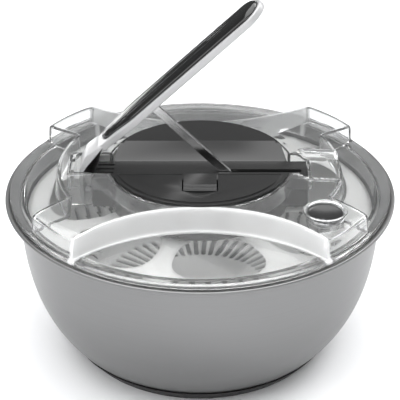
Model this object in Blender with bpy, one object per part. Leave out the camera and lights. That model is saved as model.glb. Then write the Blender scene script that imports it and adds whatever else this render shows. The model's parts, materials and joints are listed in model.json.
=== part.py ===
"""Lever salad spinner: steel bowl, spinning basket, clear lid and a lever-driven gear unit.

Metres, +Z up. The origin is the centre of the foot ring's lower face, on the bowl's axis.
The lever swings in the XZ plane, with its hinge on the -X side. It is modelled raised.
"""
from math import atan2, cos, hypot, pi, radians, sin, sqrt, tan

import bmesh
import bpy
import numpy as np
from mathutils import Matrix, Vector

# ---- bowl and foot -------------------------------------------------------------------
RIM_RADIUS = 0.132
RIM_HEIGHT = 0.114
LIP_WIDTH = 0.0094
LIP_THICKNESS = 0.0012
BEAD_HEIGHT = 0.0026
BOWL_WALL = 0.001
BOWL_SQUARENESS = 2.56          # exponent of the bowl's superelliptic profile
BOWL_REACH = 1.179              # depth of that curve, in rim heights
FOOT_RADIUS = 0.085
FOOT_WRAP_HEIGHT = 0.0085
BOWL_FLOOR = 0.0033

# ---- clearances ----------------------------------------------------------------------
TOUCH_GAP = 0.00035             # between pieces that rest on or in each other
RUNNING_GAP = 0.0004            # between pieces that slide or turn
ROUND_STEPS = 48
SMALL_STEPS = 16

# ---- basket and its inner cover ------------------------------------------------------
BASKET_CLEARANCE = 0.009
BASKET_WALL = 0.0018
BASKET_FLOOR = 0.013
BASKET_TOP_DROP = 0.0128        # basket rim below the bowl's rim
RING_INSET = 0.004              # basket rim inside the bowl's mouth
RING_WIDTH = 0.0145
SLOT_COUNT = 20
SLOT_WIDTH = 0.0055
COVER_THICKNESS = 0.002
COVER_HOLES = 7
HOLE_INNER_RADIUS = 0.0505
HOLE_HALF_ANGLE = radians(21.0)
HOLE_FIRST_ANGLE = radians(-81.6)
HOLE_SQUARENESS = 2.6
HUB_RADIUS = 0.013
HUB_DEPTH = 0.006
DRIVE_ACROSS = 0.0048           # corner radius of the hexagonal drive end
PIVOT_RADIUS = 0.005

# ---- clear lid -----------------------------------------------------------------------
LID_EDGE_INSET = 0.0034         # lid edge inside the bowl's rim
LID_WALL = 0.002
SHELF_RISE = 0.003
PLATFORM_RISE = 0.020
PLATFORM_FALL = 0.005
LOBE_INSET = 0.0065
SCOOP_RADIUS = 0.1095
SCOOP_LAND = 0.0016
SIDE_SCOOP_MARGIN = 0.0239       # side scoops beyond the gear unit's ears
SIDE_SCOOP_HALF_ANGLE = radians(27.0)
SIDE_SCOOP_RAMP = radians(4.0)
LID_SKIRT_DEPTH = 0.0085
WELL_DEPTH = 0.014

# ---- gears ---------------------------------------------------------------------------
GEAR_MODULE = 0.00125
RACK_PINION_TEETH = 14
DRIVE_TEETH = 32
IDLER_PINION_TEETH = 10
IDLER_TEETH = 30
OUTPUT_TEETH = 10

# ---- gear unit -----------------------------------------------------------------------
HOUSING_MARGIN = 0.021          # housing radius beyond the drive gear's pitch diameter
HOUSING_RADIUS = DRIVE_TEETH * GEAR_MODULE + HOUSING_MARGIN
HOUSING_RISE = 0.0222
HOUSING_WALL = 0.002
HOUSING_SPLIT = 0.008           # joint of the two shells, above the rim
HOUSING_BOTTOM = -0.008
EAR_LENGTH = 0.0116             # ears beyond the round part
EAR_REACH = HOUSING_RADIUS + EAR_LENGTH
EAR_HALF_WIDTH = 0.0135
TROUGH_FLOOR_RISE = 0.0136
TROUGH_FRONT = -0.0197
TROUGH_BACK_FLOOR = 0.0190
TROUGH_BACK_TOP = 0.0274
LINK_SLOT_CLEARANCE = 0.001     # past the link's lower side with the lever raised
SLOT_RIGHT = EAR_REACH - 0.0036
LINK_SLOT_HALF = 0.0022
SCREW_CIRCLE = HOUSING_RADIUS - 0.011
SCREW_ANGLES = tuple(radians(a) for a in (60, 120, 240, 300))
COLUMN_RADIUS = 0.0038
SCREW_RADIUS = 0.0015
SCREW_HEAD_RADIUS = 0.003
SCREW_LENGTH = 0.010

# ---- lever and link ------------------------------------------------------------------
HINGE_CLEARANCE = 0.0024        # hinge axis beyond the left ear
HINGE_X = -(EAR_REACH + HINGE_CLEARANCE)
HINGE_RISE = 0.006
LEVER_ANGLE = radians(43.5)
LEVER_LENGTH = 0.172
LEVER_HALF_WIDTH = 0.014
LEVER_OFFSET = 0.012
LEVER_THICKNESS = 0.008
WINDOW_HALF_WIDTH = 0.0095
WINDOW_START = 0.050
FOOT_HALF_WIDTH = 0.010
HINGE_PIN_RADIUS = 0.002
CRADLE_HALF_WIDTH = 0.0122
CRADLE_WALL = 0.002
LINK_PIVOT_ALONG = 0.0704
LINK_PIVOT_OFFSET = 0.014
LINK_HALF_THICKNESS = 0.0015
LINK_HALF_WIDTH = 0.0028
LINK_PIN_RADIUS = 0.0015
RACK_PIVOT_X = 0.0225
RACK_PIVOT_RISE = 0.008

# ---- gear train ----------------------------------------------------------------------
RACK_HALF_WIDTH = 0.003
RACK_TOOTH_HEIGHT = 0.0022
RACK_LENGTH = 0.056
PINION_X = 0.015
SHAFT_RADIUS = 0.002
OUTPUT_SHAFT_RADIUS = 0.004
BEARING_RADIUS = 0.0075
IDLER_SIDE = -1                 # the idler stands on the front side

# ---- brake and catch -----------------------------------------------------------------
BRAKE_INSET = 0.0283            # brake axis inside the rim
BRAKE_ANGLE = radians(-39.5)
BRAKE_CAP_RADIUS = 0.0115
BRAKE_COLLAR_RADIUS = BRAKE_CAP_RADIUS + 0.0027
BRAKE_CAP_RISE = 0.0185
BRAKE_TRAVEL = 0.003
PLUNGER_RADIUS = 0.0035
PAD_THICKNESS = 0.002
CATCH_HALF_WIDTH = 0.011
CATCH_LENGTH = 0.0228
CATCH_THICKNESS = 0.0035

# ---- heights that several pieces share ------------------------------------------------
RIM = RIM_HEIGHT
MOUTH_RADIUS = RIM_RADIUS - LIP_WIDTH
SIDE_SCOOP_RADIUS = EAR_REACH + SIDE_SCOOP_MARGIN
BRAKE_X = (RIM_RADIUS - BRAKE_INSET) * cos(BRAKE_ANGLE)
BRAKE_Y = (RIM_RADIUS - BRAKE_INSET) * sin(BRAKE_ANGLE)
HOUSING_TOP = RIM + HOUSING_RISE
TROUGH_FLOOR = RIM + TROUGH_FLOOR_RISE
SPLIT_Z = RIM + HOUSING_SPLIT
BASE_Z = RIM + HOUSING_BOTTOM
BASE_TOP_Z = BASE_Z + 0.0018
BASKET_TOP = RIM - BASKET_TOP_DROP
COVER_TOP = BASKET_TOP + TOUCH_GAP + COVER_THICKNESS
RING_RADIUS = MOUTH_RADIUS - RING_INSET
RING_INNER_RADIUS = RING_RADIUS - RING_WIDTH
OUTPUT_LEVEL = (BASE_TOP_Z + 0.0004, BASE_TOP_Z + 0.0030)
DRIVE_LEVEL = (OUTPUT_LEVEL[1] + 0.0006, OUTPUT_LEVEL[1] + 0.0034)
RACK_LEVEL = (DRIVE_LEVEL[1] + 0.0010, DRIVE_LEVEL[1] + 0.0042)

COLOURS = {
    "steel": ((0.62, 0.62, 0.61), 0.28, 1.0),
    "pin_steel": ((0.55, 0.55, 0.55), 0.25, 1.0),
    "black_rubber": ((0.015, 0.015, 0.015), 0.7, 0.0),
    "black_plastic": ((0.02, 0.02, 0.021), 0.3, 0.0),
    "clear_plastic": ((0.9, 0.92, 0.92), 0.08, 0.0),
    "frosted_plastic": ((0.82, 0.83, 0.82), 0.35, 0.0),
    "satin_grey": ((0.66, 0.66, 0.66), 0.35, 0.0),
    "nylon": ((0.75, 0.74, 0.70), 0.45, 0.0),
}


# ---- small tools ---------------------------------------------------------------------
def clear_scene():
    for obj in list(bpy.data.objects):
        bpy.data.objects.remove(obj)


def material(kind, name):
    colour, roughness, metallic = COLOURS[kind]
    mat = bpy.data.materials.new(name + "_" + kind)
    mat.use_nodes = True
    shader = mat.node_tree.nodes["Principled BSDF"]
    shader.inputs["Base Color"].default_value = (*colour, 1.0)
    shader.inputs["Roughness"].default_value = roughness
    shader.inputs["Metallic"].default_value = metallic
    return mat


def finish(bm, name, kind, merge=1e-6):
    """Turn a bmesh into a named object with its own material and outward faces."""
    bmesh.ops.remove_doubles(bm, verts=bm.verts, dist=merge)
    bmesh.ops.recalc_face_normals(bm, faces=bm.faces)
    mesh = bpy.data.meshes.new(name)
    bm.to_mesh(mesh)
    bm.free()
    mesh.shade_smooth()
    mesh.set_sharp_from_angle(angle=radians(32))
    obj = bpy.data.objects.new(name, mesh)
    bpy.context.scene.collection.objects.link(obj)
    if kind:
        mesh.materials.append(material(kind, name))
    return obj


def as_tool(obj):
    """Mark an object as a cutter or a guide."""
    obj.hide_render = True
    obj.display_type = "WIRE"
    return obj


def combine(obj, tool, operation="DIFFERENCE"):
    modifier = obj.modifiers.new(tool.name, "BOOLEAN")
    modifier.operation = operation
    modifier.object = as_tool(tool)
    modifier.solver = "EXACT"


def turned(name, profile, kind, steps=ROUND_STEPS):
    """Spin a closed (r, z) outline about the Z axis."""
    bm = bmesh.new()
    verts = [bm.verts.new((r, 0.0, z)) for r, z in profile]
    edges = [bm.edges.new((verts[i], verts[(i + 1) % len(verts)])) for i in range(len(verts))]
    bmesh.ops.spin(bm, geom=verts + edges, cent=(0, 0, 0), axis=(0, 0, 1),
                   angle=2 * pi, steps=steps, use_merge=True)
    return finish(bm, name, kind)


def turned_on_axis(name, profile, kind, steps=ROUND_STEPS):
    """Spin an open (r, z) outline whose two ends lie on the Z axis."""
    bm = bmesh.new()
    verts = [bm.verts.new((r, 0.0, z)) for r, z in profile]
    edges = [bm.edges.new(pair) for pair in zip(verts, verts[1:])]
    bmesh.ops.spin(bm, geom=verts + edges, cent=(0, 0, 0), axis=(0, 0, 1),
                   angle=2 * pi, steps=steps, use_merge=True)
    return finish(bm, name, kind)


def add_plate(bm, loops, low, high, place=Matrix()):
    """Fill an outline, leaving its inner loops open, and extrude it from low to high."""
    edges = []
    for loop in loops:
        verts = [bm.verts.new((x, y, low)) for x, y in loop]
        edges += [bm.edges.new((verts[i], verts[(i + 1) % len(verts)])) for i in range(len(verts))]
    filled = bmesh.ops.triangle_fill(bm, edges=edges, use_beauty=True)
    faces = [g for g in filled["geom"] if isinstance(g, bmesh.types.BMFace)]
    grown = bmesh.ops.extrude_face_region(bm, geom=faces)
    raised = [g for g in grown["geom"] if isinstance(g, bmesh.types.BMVert)]
    bmesh.ops.translate(bm, verts=raised, vec=(0, 0, high - low))
    touched = {v for f in faces for v in f.verts} | set(raised)
    bmesh.ops.transform(bm, matrix=place, verts=list(touched))


def plate(name, loops, low, high, kind, place=Matrix()):
    bm = bmesh.new()
    add_plate(bm, loops, low, high, place)
    return finish(bm, name, kind)


def circle(radius, steps=SMALL_STEPS, x=0.0, y=0.0, turn=0.0):
    return [(x + radius * cos(turn + 2 * pi * i / steps), y + radius * sin(turn + 2 * pi * i / steps))
            for i in range(steps)]


def rectangle(x0, x1, y0, y1):
    return [(x0, y0), (x1, y0), (x1, y1), (x0, y1)]


def arc(x, y, radius, start, end, steps):
    angles = [start + (end - start) * i / steps for i in range(steps + 1)]
    return [(x + radius * cos(a), y + radius * sin(a)) for a in angles]


def upright():
    """Turn a plate drawn in (x, z) so that its thickness runs along Y."""
    return Matrix(((1, 0, 0, 0), (0, 0, -1, 0), (0, 1, 0, 0), (0, 0, 0, 1)))


def pin_along_y(name, radius, half_length, kind, steps=12):
    bm = bmesh.new()
    add_plate(bm, [circle(radius, steps)], -half_length, half_length, upright())
    return finish(bm, name, kind)


def cylinder(name, radius, low, high, kind, steps=SMALL_STEPS, x=0.0, y=0.0, bore=0.0):
    loops = [circle(radius, steps)] + ([circle(bore, steps)] if bore else [])
    obj = plate(name, loops, low, high, kind)
    obj.location = (x, y, 0.0)
    return obj


# ---- bowl ----------------------------------------------------------------------------
def bowl_radius(z):
    """Outer radius of the bowl's body at height z."""
    depth = min(max((RIM - z) / (BOWL_REACH * RIM), 0.0), 1.0)
    return MOUTH_RADIUS * (1.0 - depth ** BOWL_SQUARENESS) ** (1.0 / BOWL_SQUARENESS)


def wall_heights(low, high, count):
    """Heights from low to high, closer together near the bottom, where the wall curves most."""
    return [low + (high - low) * (i / (count - 1)) ** 1.5 for i in range(count)]


def make_bowl():
    corner = FOOT_WRAP_HEIGHT + 0.001
    outer = [(bowl_radius(z), z) for z in wall_heights(corner, RIM - 0.004, 8)]
    outer = [(0.0, BOWL_FLOOR), (FOOT_RADIUS - 0.007, BOWL_FLOOR),
             (0.5 * (FOOT_RADIUS - 0.003 + outer[0][0]) - 0.002, 0.5 * (BOWL_FLOOR + corner) - 0.0005)] + outer
    lip_low = RIM - LIP_THICKNESS
    lip = [(MOUTH_RADIUS + 0.0008, lip_low), (RIM_RADIUS - 0.0024, lip_low),
           (RIM_RADIUS - 0.0022, RIM - BEAD_HEIGHT), (RIM_RADIUS - 0.0004, RIM - BEAD_HEIGHT),
           (RIM_RADIUS, RIM - 0.5 * BEAD_HEIGHT), (RIM_RADIUS - 0.0005, RIM),
           (MOUTH_RADIUS, RIM)]
    inner = [(r - BOWL_WALL, z) for r, z in reversed(outer[3:])]
    inner += [(outer[2][0] - 0.0008, outer[2][1] + 0.0009),
              (outer[1][0] - 0.0003, BOWL_FLOOR + BOWL_WALL), (0.0, BOWL_FLOOR + BOWL_WALL)]
    return turned_on_axis("bowl", outer + lip + inner, "steel")


def make_base_pad():
    """Soft pad bonded under the bowl, with an edge that wraps the bowl's lower corner."""
    top = bowl_radius(FOOT_WRAP_HEIGHT) + TOUCH_GAP
    floor = BOWL_FLOOR - TOUCH_GAP
    profile = [(0.0, 0.0), (FOOT_RADIUS - 0.0006, 0.0), (FOOT_RADIUS + 0.0006, 0.0008),
               (top + 0.0012, FOOT_WRAP_HEIGHT), (top + 0.0004, FOOT_WRAP_HEIGHT + 0.0004),
               (top - 0.0045, 0.5 * (BOWL_FLOOR + FOOT_WRAP_HEIGHT) - 0.0012),
               (FOOT_RADIUS - 0.0066, floor), (0.0, floor)]
    return turned_on_axis("base_pad", profile, "black_rubber", 40)


# ---- basket --------------------------------------------------------------------------
def basket_radius(z):
    return bowl_radius(z) - BASKET_CLEARANCE


def make_basket():
    heights = wall_heights(BASKET_FLOOR + 0.0015, BASKET_TOP - 0.004, 5)
    outer = [(basket_radius(z), z) for z in heights]
    floor_r = outer[0][0] - 0.006
    lip_inner = outer[-1][0] - BASKET_WALL
    profile = [(PIVOT_RADIUS + RUNNING_GAP, BASKET_FLOOR), (floor_r, BASKET_FLOOR)] + outer
    profile += [(RING_RADIUS, BASKET_TOP - 0.002), (RING_RADIUS, BASKET_TOP), (lip_inner, BASKET_TOP)]
    profile += [(r - BASKET_WALL, z) for r, z in reversed(outer[1:-1])]
    profile += [(floor_r - 0.001, BASKET_FLOOR + BASKET_WALL + 0.001),
                (2.4 * PIVOT_RADIUS, BASKET_FLOOR + BASKET_WALL),
                (2.0 * PIVOT_RADIUS, BASKET_FLOOR + 0.005),
                (PIVOT_RADIUS + RUNNING_GAP, BASKET_FLOOR + 0.005)]
    basket = turned("basket", profile, "frosted_plastic", 32)
    combine(basket, basket_slots())
    return basket


def basket_slots():
    """Upright drain slots in the wall and radial ones in the floor, as one cutter."""
    bm = bmesh.new()
    low = BASKET_FLOOR + 0.30 * (BASKET_TOP - BASKET_FLOOR)
    high = BASKET_FLOOR + 0.72 * (BASKET_TOP - BASKET_FLOOR)
    reach = basket_radius(high) + 0.004
    start = basket_radius(low) - 0.012
    for i in range(SLOT_COUNT):
        turn = Matrix.Rotation(2 * pi * (i + 0.5) / SLOT_COUNT, 4, "Z")
        add_plate(bm, [rectangle(start, reach, -SLOT_WIDTH / 2, SLOT_WIDTH / 2)], low, high, turn)
    floor_slots = SLOT_COUNT // 2
    for i in range(floor_slots):
        turn = Matrix.Rotation(2 * pi * (i + 0.5) / floor_slots, 4, "Z")
        outline = rectangle(0.35 * reach, 0.62 * reach, -SLOT_WIDTH / 2, SLOT_WIDTH / 2)
        add_plate(bm, [outline], BASKET_FLOOR - 0.004, BASKET_FLOOR + 0.004, turn)
    return finish(bm, "basket_slot_cutter", None)


def make_basket_pivot():
    """Nylon tip, fixed in the basket's floor, that turns on the bowl's floor."""
    tip = BOWL_FLOOR + BOWL_WALL + TOUCH_GAP
    shoulder = BASKET_FLOOR - TOUCH_GAP
    top = BASKET_FLOOR + 0.0062
    profile = [(0.0, tip), (0.0012, tip + 0.0001), (0.003, tip + 0.003), (0.003, shoulder - 0.002),
               (PIVOT_RADIUS + 0.002, shoulder - 0.0015), (PIVOT_RADIUS + 0.002, shoulder),
               (PIVOT_RADIUS, shoulder), (PIVOT_RADIUS, top), (0.0, top)]
    return turned_on_axis("basket_pivot", profile, "nylon", SMALL_STEPS)


def cover_hole(centre_angle, steps=16):
    """Superellipse drawn in polar terms: its half-height is along r, its half-width in angle."""
    outer = RING_INNER_RADIUS
    mid = 0.5 * (HOLE_INNER_RADIUS + outer)
    half = 0.5 * (outer - HOLE_INNER_RADIUS)
    points = []
    for i in range(steps):
        t = 2 * pi * i / steps
        c, s = cos(t), sin(t)
        power = 2.0 / HOLE_SQUARENESS
        r = mid + half * abs(s) ** power * (1 if s >= 0 else -1)
        a = centre_angle + HOLE_HALF_ANGLE * abs(c) ** power * (1 if c >= 0 else -1)
        points.append((r * cos(a), r * sin(a)))
    return points


def make_inner_cover():
    """Flat spider that closes the basket and carries the hexagonal drive socket."""
    low = COVER_TOP - COVER_THICKNESS
    centre_low = low - 0.0025
    hub_low = centre_low - HUB_DEPTH + COVER_THICKNESS
    socket = DRIVE_ACROSS + RUNNING_GAP
    plug = basket_radius(BASKET_TOP) - BASKET_WALL - 0.0015
    profile = [(socket, hub_low), (HUB_RADIUS, hub_low), (HUB_RADIUS, centre_low),
               (0.8 * HOLE_INNER_RADIUS, centre_low), (HOLE_INNER_RADIUS, low), (plug - 0.002, low),
               (plug - 0.002, low - 0.003), (plug, low - 0.003), (plug, low), (RING_RADIUS, low),
               (RING_RADIUS, COVER_TOP), (HOLE_INNER_RADIUS, COVER_TOP),
               (0.8 * HOLE_INNER_RADIUS, centre_low + COVER_THICKNESS),
               (socket, centre_low + COVER_THICKNESS)]
    cover = turned("inner_cover", profile, "frosted_plastic", 35)
    bm = bmesh.new()
    for i in range(COVER_HOLES):
        outline = cover_hole(HOLE_FIRST_ANGLE + 2 * pi * i / COVER_HOLES)
        add_plate(bm, [outline], low - 0.009, COVER_TOP + 0.004)
    combine(cover, finish(bm, "cover_hole_cutter", None))
    return cover


# ---- clear lid -----------------------------------------------------------------------
def platform_height(r):
    """Top of the raised cross: highest at the gear unit, lower towards the rim."""
    span = RIM_RADIUS - HOUSING_RADIUS
    t = min(max((r - HOUSING_RADIUS) / span, 0.0), 1.0)
    return RIM + PLATFORM_RISE - PLATFORM_FALL * t * t


def scoop_edge(angle):
    """Distance from the axis to the edge of the raised cross at one angle."""
    lobe = RIM_RADIUS - LOBE_INSET
    centre = HOUSING_RADIUS + SCOOP_LAND + SCOOP_RADIUS
    along = centre * abs(sin(angle))
    inside = along * along - (centre * centre - SCOOP_RADIUS * SCOOP_RADIUS)
    front = along - sqrt(inside) if inside > 0 else lobe
    off_axis = min(abs(atan2(sin(angle), cos(angle))), abs(atan2(sin(angle), -cos(angle))))
    ramp = min(max((off_axis - SIDE_SCOOP_HALF_ANGLE) / SIDE_SCOOP_RAMP, 0.0), 1.0)
    ramp = ramp * ramp * (3 - 2 * ramp)
    side = SIDE_SCOOP_RADIUS + (lobe - SIDE_SCOOP_RADIUS) * ramp
    return min(lobe, front, side)


def well_edge(angle):
    """Edge of the opening that holds the gear unit, its ears and the lever's hinge."""
    radius = HOUSING_RADIUS + RUNNING_GAP
    half = CRADLE_HALF_WIDTH + CRADLE_WALL + TOUCH_GAP
    if cos(angle) > 0:
        reach, half = EAR_REACH + TOUCH_GAP, EAR_HALF_WIDTH + TOUCH_GAP
    else:
        reach = -cradle_left() + TOUCH_GAP
    notch = min(reach / max(abs(cos(angle)), 1e-6), half / max(abs(sin(angle)), 1e-6))
    return max(radius, notch)


def notch_angles(reach, half):
    """Angles at the outer and inner corners of one notch of the well."""
    radius = HOUSING_RADIUS + RUNNING_GAP
    return [atan2(half, reach), np.arcsin(half / radius)]


def lid_angles():
    """Evenly spaced angles, with extra ones where the outline turns a corner."""
    right = notch_angles(EAR_REACH + TOUCH_GAP, EAR_HALF_WIDTH + TOUCH_GAP)
    left = notch_angles(-cradle_left() + TOUCH_GAP, CRADLE_HALF_WIDTH + CRADLE_WALL + TOUCH_GAP)
    corners = right + [-a for a in right] + [pi - a for a in left] + [a - pi for a in left]
    step = radians(6.0)
    even = [-pi + step * (i + 0.5) for i in range(60)]
    for k in range(3):
        edge = SIDE_SCOOP_HALF_ANGLE + 0.5 * k * SIDE_SCOOP_RAMP
        corners += [edge, -edge, pi - edge, edge - pi]
    kept = [a for a in even if min(abs(a - c) for c in corners) > radians(1.2)]
    return sorted(kept + corners)


def lid_section(angle):
    """Closed (r, z) section of the lid at one angle, upper side first."""
    well, edge = well_edge(angle), scoop_edge(angle)
    shelf = RIM + SHELF_RISE
    rim = RIM_RADIUS - LID_EDGE_INSET
    seat = RIM + TOUCH_GAP
    neck = MOUTH_RADIUS - 0.0018
    foot = RIM - LID_SKIRT_DEPTH
    top_in, top_out = platform_height(well), platform_height(edge)
    well_foot = top_in - WELL_DEPTH
    hollow = min(max((edge - well - 2.2 * LID_WALL) / LID_WALL, 0.0), 1.0)
    wall = max(edge - 0.8 * LID_WALL, well + 0.0006)
    roof = max(wall - 0.001, well + 0.0004)
    inner_well = min(well + LID_WALL, roof - 0.0002)
    roof_z = well_foot - 0.0008 + hollow * (top_out - 0.0032 - well_foot)
    inner_z = well_foot - 0.0004 + hollow * (top_in + 0.0004 - LID_WALL - well_foot)
    shelf_end = max(neck + 0.0015, edge + 0.0024)
    upper = [(well, well_foot), (well, top_in), (max(edge - 0.002, well + 0.0004), top_out),
             (edge, top_out - 0.002), (edge + 0.0006, shelf + 0.001), (edge + 0.0018, shelf),
             (shelf_end, shelf), (rim - 0.0004, shelf - 0.0004), (rim, shelf - 0.0014)]
    under = shelf - LID_WALL + 0.0006
    lower = [(rim - 0.0002, seat), (neck, seat), (neck - 0.0002, foot), (neck - 0.0018, foot),
             (neck - 0.0018, under), (wall, under), (roof, roof_z), (inner_well, inner_z),
             (inner_well, well_foot)]
    return upper + lower


def make_lid_shell():
    bm = bmesh.new()
    rings = []
    for angle in lid_angles():
        c, s = cos(angle), sin(angle)
        rings.append([bm.verts.new((r * c, r * s, z)) for r, z in lid_section(angle)])
    count = len(rings[0])
    for i, ring in enumerate(rings):
        following = rings[(i + 1) % len(rings)]
        for k in range(count):
            m = (k + 1) % count
            bm.faces.new((ring[k], following[k], following[m], ring[m]))
    lid = finish(bm, "lid_shell", "clear_plastic", 1e-7)
    hole = cylinder("brake_hole_cutter", BRAKE_COLLAR_RADIUS - 0.0018, RIM + 0.006, RIM + 0.03,
                    None, 24, BRAKE_X, BRAKE_Y)
    combine(lid, hole)
    return lid


# ---- gear unit shells ----------------------------------------------------------------
def eared_outline(radius, reach, half, steps=ROUND_STEPS):
    """Circle with a square ear on the +X and on the -X side."""
    corner = np.arcsin(half / radius)
    side = int(steps * (pi - 2 * corner) / (2 * pi))
    top = arc(0, 0, radius, corner, pi - corner, side)
    bottom = arc(0, 0, radius, pi + corner, 2 * pi - corner, side)
    return top + [(-reach, half), (-reach, -half)] + bottom + [(reach, -half), (reach, half)]


def trough_outline(grow=0.0):
    """(y, z) section of the lever's trough, widened on every side by grow."""
    floor = TROUGH_FLOOR - grow
    high = HOUSING_TOP + 0.01
    back = arc(TROUGH_BACK_FLOOR + grow, HOUSING_TOP, TROUGH_FLOOR_RISE * 0.63, -pi / 2, -pi / 16, 5)
    rise = (HOUSING_TOP - floor) / (HOUSING_TOP - back[0][1])
    curve = [(y, HOUSING_TOP - (HOUSING_TOP - z) * rise) for y, z in back]
    return [(TROUGH_FRONT - grow, floor)] + curve + [(TROUGH_BACK_TOP + grow, HOUSING_TOP),
                                                     (TROUGH_BACK_TOP + grow, high),
                                                     (TROUGH_FRONT - grow, high)]


def trough_tool(name, grow):
    place = Matrix(((0, 0, 1, 0), (1, 0, 0, 0), (0, 1, 0, 0), (0, 0, 0, 1)))
    return as_tool(plate(name, [trough_outline(grow)], -0.095, 0.095, None, place))


def link_slot_left():
    """Left end of the link's slot: where the raised link's lower side meets the trough floor."""
    x, z = link_pivot()
    slope = atan2(z - RIM - RACK_PIVOT_RISE, RACK_PIVOT_X - x)
    above = TROUGH_FLOOR_RISE - RACK_PIVOT_RISE
    return RACK_PIVOT_X - above / tan(slope) - LINK_HALF_WIDTH / sin(slope) - LINK_SLOT_CLEARANCE


def make_housing_top():
    outline = eared_outline(HOUSING_RADIUS, EAR_REACH, EAR_HALF_WIDTH)
    top = plate("housing_top", [outline], SPLIT_Z, HOUSING_TOP, "black_plastic")
    combine(top, trough_tool("trough_cutter", 0.0))
    inside = eared_outline(HOUSING_RADIUS - HOUSING_WALL, EAR_REACH - HOUSING_WALL,
                           EAR_HALF_WIDTH - HOUSING_WALL, 36)
    cavity = plate("cavity_cutter", [inside], SPLIT_Z - 0.003, HOUSING_TOP - HOUSING_WALL, None)
    combine(cavity, trough_tool("trough_guide", HOUSING_WALL))
    combine(top, cavity)
    combine(top, plate("link_slot_cutter", [rectangle(link_slot_left(), SLOT_RIGHT, -LINK_SLOT_HALF, LINK_SLOT_HALF)],
                       TROUGH_FLOOR - 0.006, TROUGH_FLOOR + 0.004, None))
    half = CATCH_HALF_WIDTH + RUNNING_GAP
    window = rectangle(-half, half, TROUGH_FRONT - CATCH_LENGTH - RUNNING_GAP, TROUGH_FRONT + 0.001)
    combine(top, plate("catch_window_cutter", [window], HOUSING_TOP - CATCH_THICKNESS - 0.0006,
                       HOUSING_TOP + 0.003, None))
    bm = bmesh.new()
    for angle in SCREW_ANGLES:
        x, y = SCREW_CIRCLE * cos(angle), SCREW_CIRCLE * sin(angle)
        bore = circle(SCREW_RADIUS + TOUCH_GAP, 8, x, y)
        add_plate(bm, [circle(COLUMN_RADIUS, 12, x, y), bore], BASE_TOP_Z + TOUCH_GAP,
                  HOUSING_TOP - HOUSING_WALL + 0.0008)
    combine(top, finish(bm, "column_guide", None), "UNION")
    return top


def make_housing_base():
    outline = eared_outline(HOUSING_RADIUS - 0.0008, EAR_REACH - TOUCH_GAP, EAR_HALF_WIDTH - TOUCH_GAP)
    holes = [circle(BEARING_RADIUS + TOUCH_GAP, 20)]
    for angle in SCREW_ANGLES:
        holes.append(circle(SCREW_RADIUS + TOUCH_GAP, 8, SCREW_CIRCLE * cos(angle), SCREW_CIRCLE * sin(angle)))
    base = plate("housing_base", [outline] + holes, BASE_Z, SPLIT_Z - TOUCH_GAP, "black_plastic")
    inside = eared_outline(HOUSING_RADIUS - 0.0008 - HOUSING_WALL, EAR_REACH - HOUSING_WALL,
                           EAR_HALF_WIDTH - HOUSING_WALL, 36)
    combine(base, plate("base_cavity_cutter", [inside], BASE_TOP_Z, SPLIT_Z + 0.002, None))
    return base


def make_screws():
    for i, angle in enumerate(SCREW_ANGLES):
        head = BASE_Z - TOUCH_GAP
        profile = [(0.0, head - 0.0016), (SCREW_HEAD_RADIUS, head - 0.0013), (SCREW_HEAD_RADIUS, head),
                   (SCREW_RADIUS, head), (SCREW_RADIUS, head + SCREW_LENGTH), (0.0, head + SCREW_LENGTH + 0.001)]
        screw = turned_on_axis("base_screw_%d" % (i + 1), profile, "pin_steel", 8)
        screw.location = (SCREW_CIRCLE * cos(angle), SCREW_CIRCLE * sin(angle), 0.0)


# ---- lever ---------------------------------------------------------------------------
def cradle_left():
    return HINGE_X - 0.0115


def make_hinge_cradle():
    """Clear pocket beside the gear unit; its two cheeks hold the hinge pin."""
    left, right = cradle_left(), -(EAR_REACH + TOUCH_GAP)
    outer = CRADLE_HALF_WIDTH + CRADLE_WALL
    low, high = RIM - 0.006, RIM + PLATFORM_RISE - 0.001
    outline = [(left, -outer), (right, -outer), (right, -CRADLE_HALF_WIDTH),
               (left + CRADLE_WALL, -CRADLE_HALF_WIDTH), (left + CRADLE_WALL, CRADLE_HALF_WIDTH),
               (right, CRADLE_HALF_WIDTH), (right, outer), (left, outer)]
    cradle = plate("hinge_cradle", [outline], low, high, "clear_plastic")
    hole = pin_along_y("cradle_hole_cutter", HINGE_PIN_RADIUS + TOUCH_GAP, outer + 0.004, None, 12)
    hole.location = (HINGE_X, 0.0, RIM + HINGE_RISE)
    combine(cradle, hole)
    open_back = plate("cradle_back_cutter", [rectangle(left - 0.001, left + CRADLE_WALL + 0.0005,
                                                       -CRADLE_HALF_WIDTH, CRADLE_HALF_WIDTH)],
                      low - 0.001, RIM + HINGE_RISE + 0.001, None)
    combine(cradle, open_back)
    return cradle


def lever_foot_outline():
    """Side outline, along and across the lever, of the hooked end that turns on the hinge."""
    return [(-0.0126, -0.0060), (-0.0104, -0.0088), (-0.0042, -0.0070), (0.0016, -0.0022),
            (0.0026, 0.0060), (0.0046, 0.0092), (0.0110, 0.0112), (0.0270, LEVER_OFFSET),
            (0.0400, LEVER_OFFSET), (0.0400, LEVER_OFFSET + LEVER_THICKNESS),
            (0.0300, LEVER_OFFSET + LEVER_THICKNESS), (0.0150, 0.0188), (0.0053, 0.0143),
            (-0.0044, 0.0044)]


def lever_plan(half, start, end, nose, taper):
    """Plan of a bar with a round tip and a narrower lower end."""
    tip = arc(end - half, 0, half, -pi / 2, pi / 2, 12)
    return [(start, nose), (start, -nose), (start + taper, -half)] + tip + [(start + taper, half)]


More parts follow.
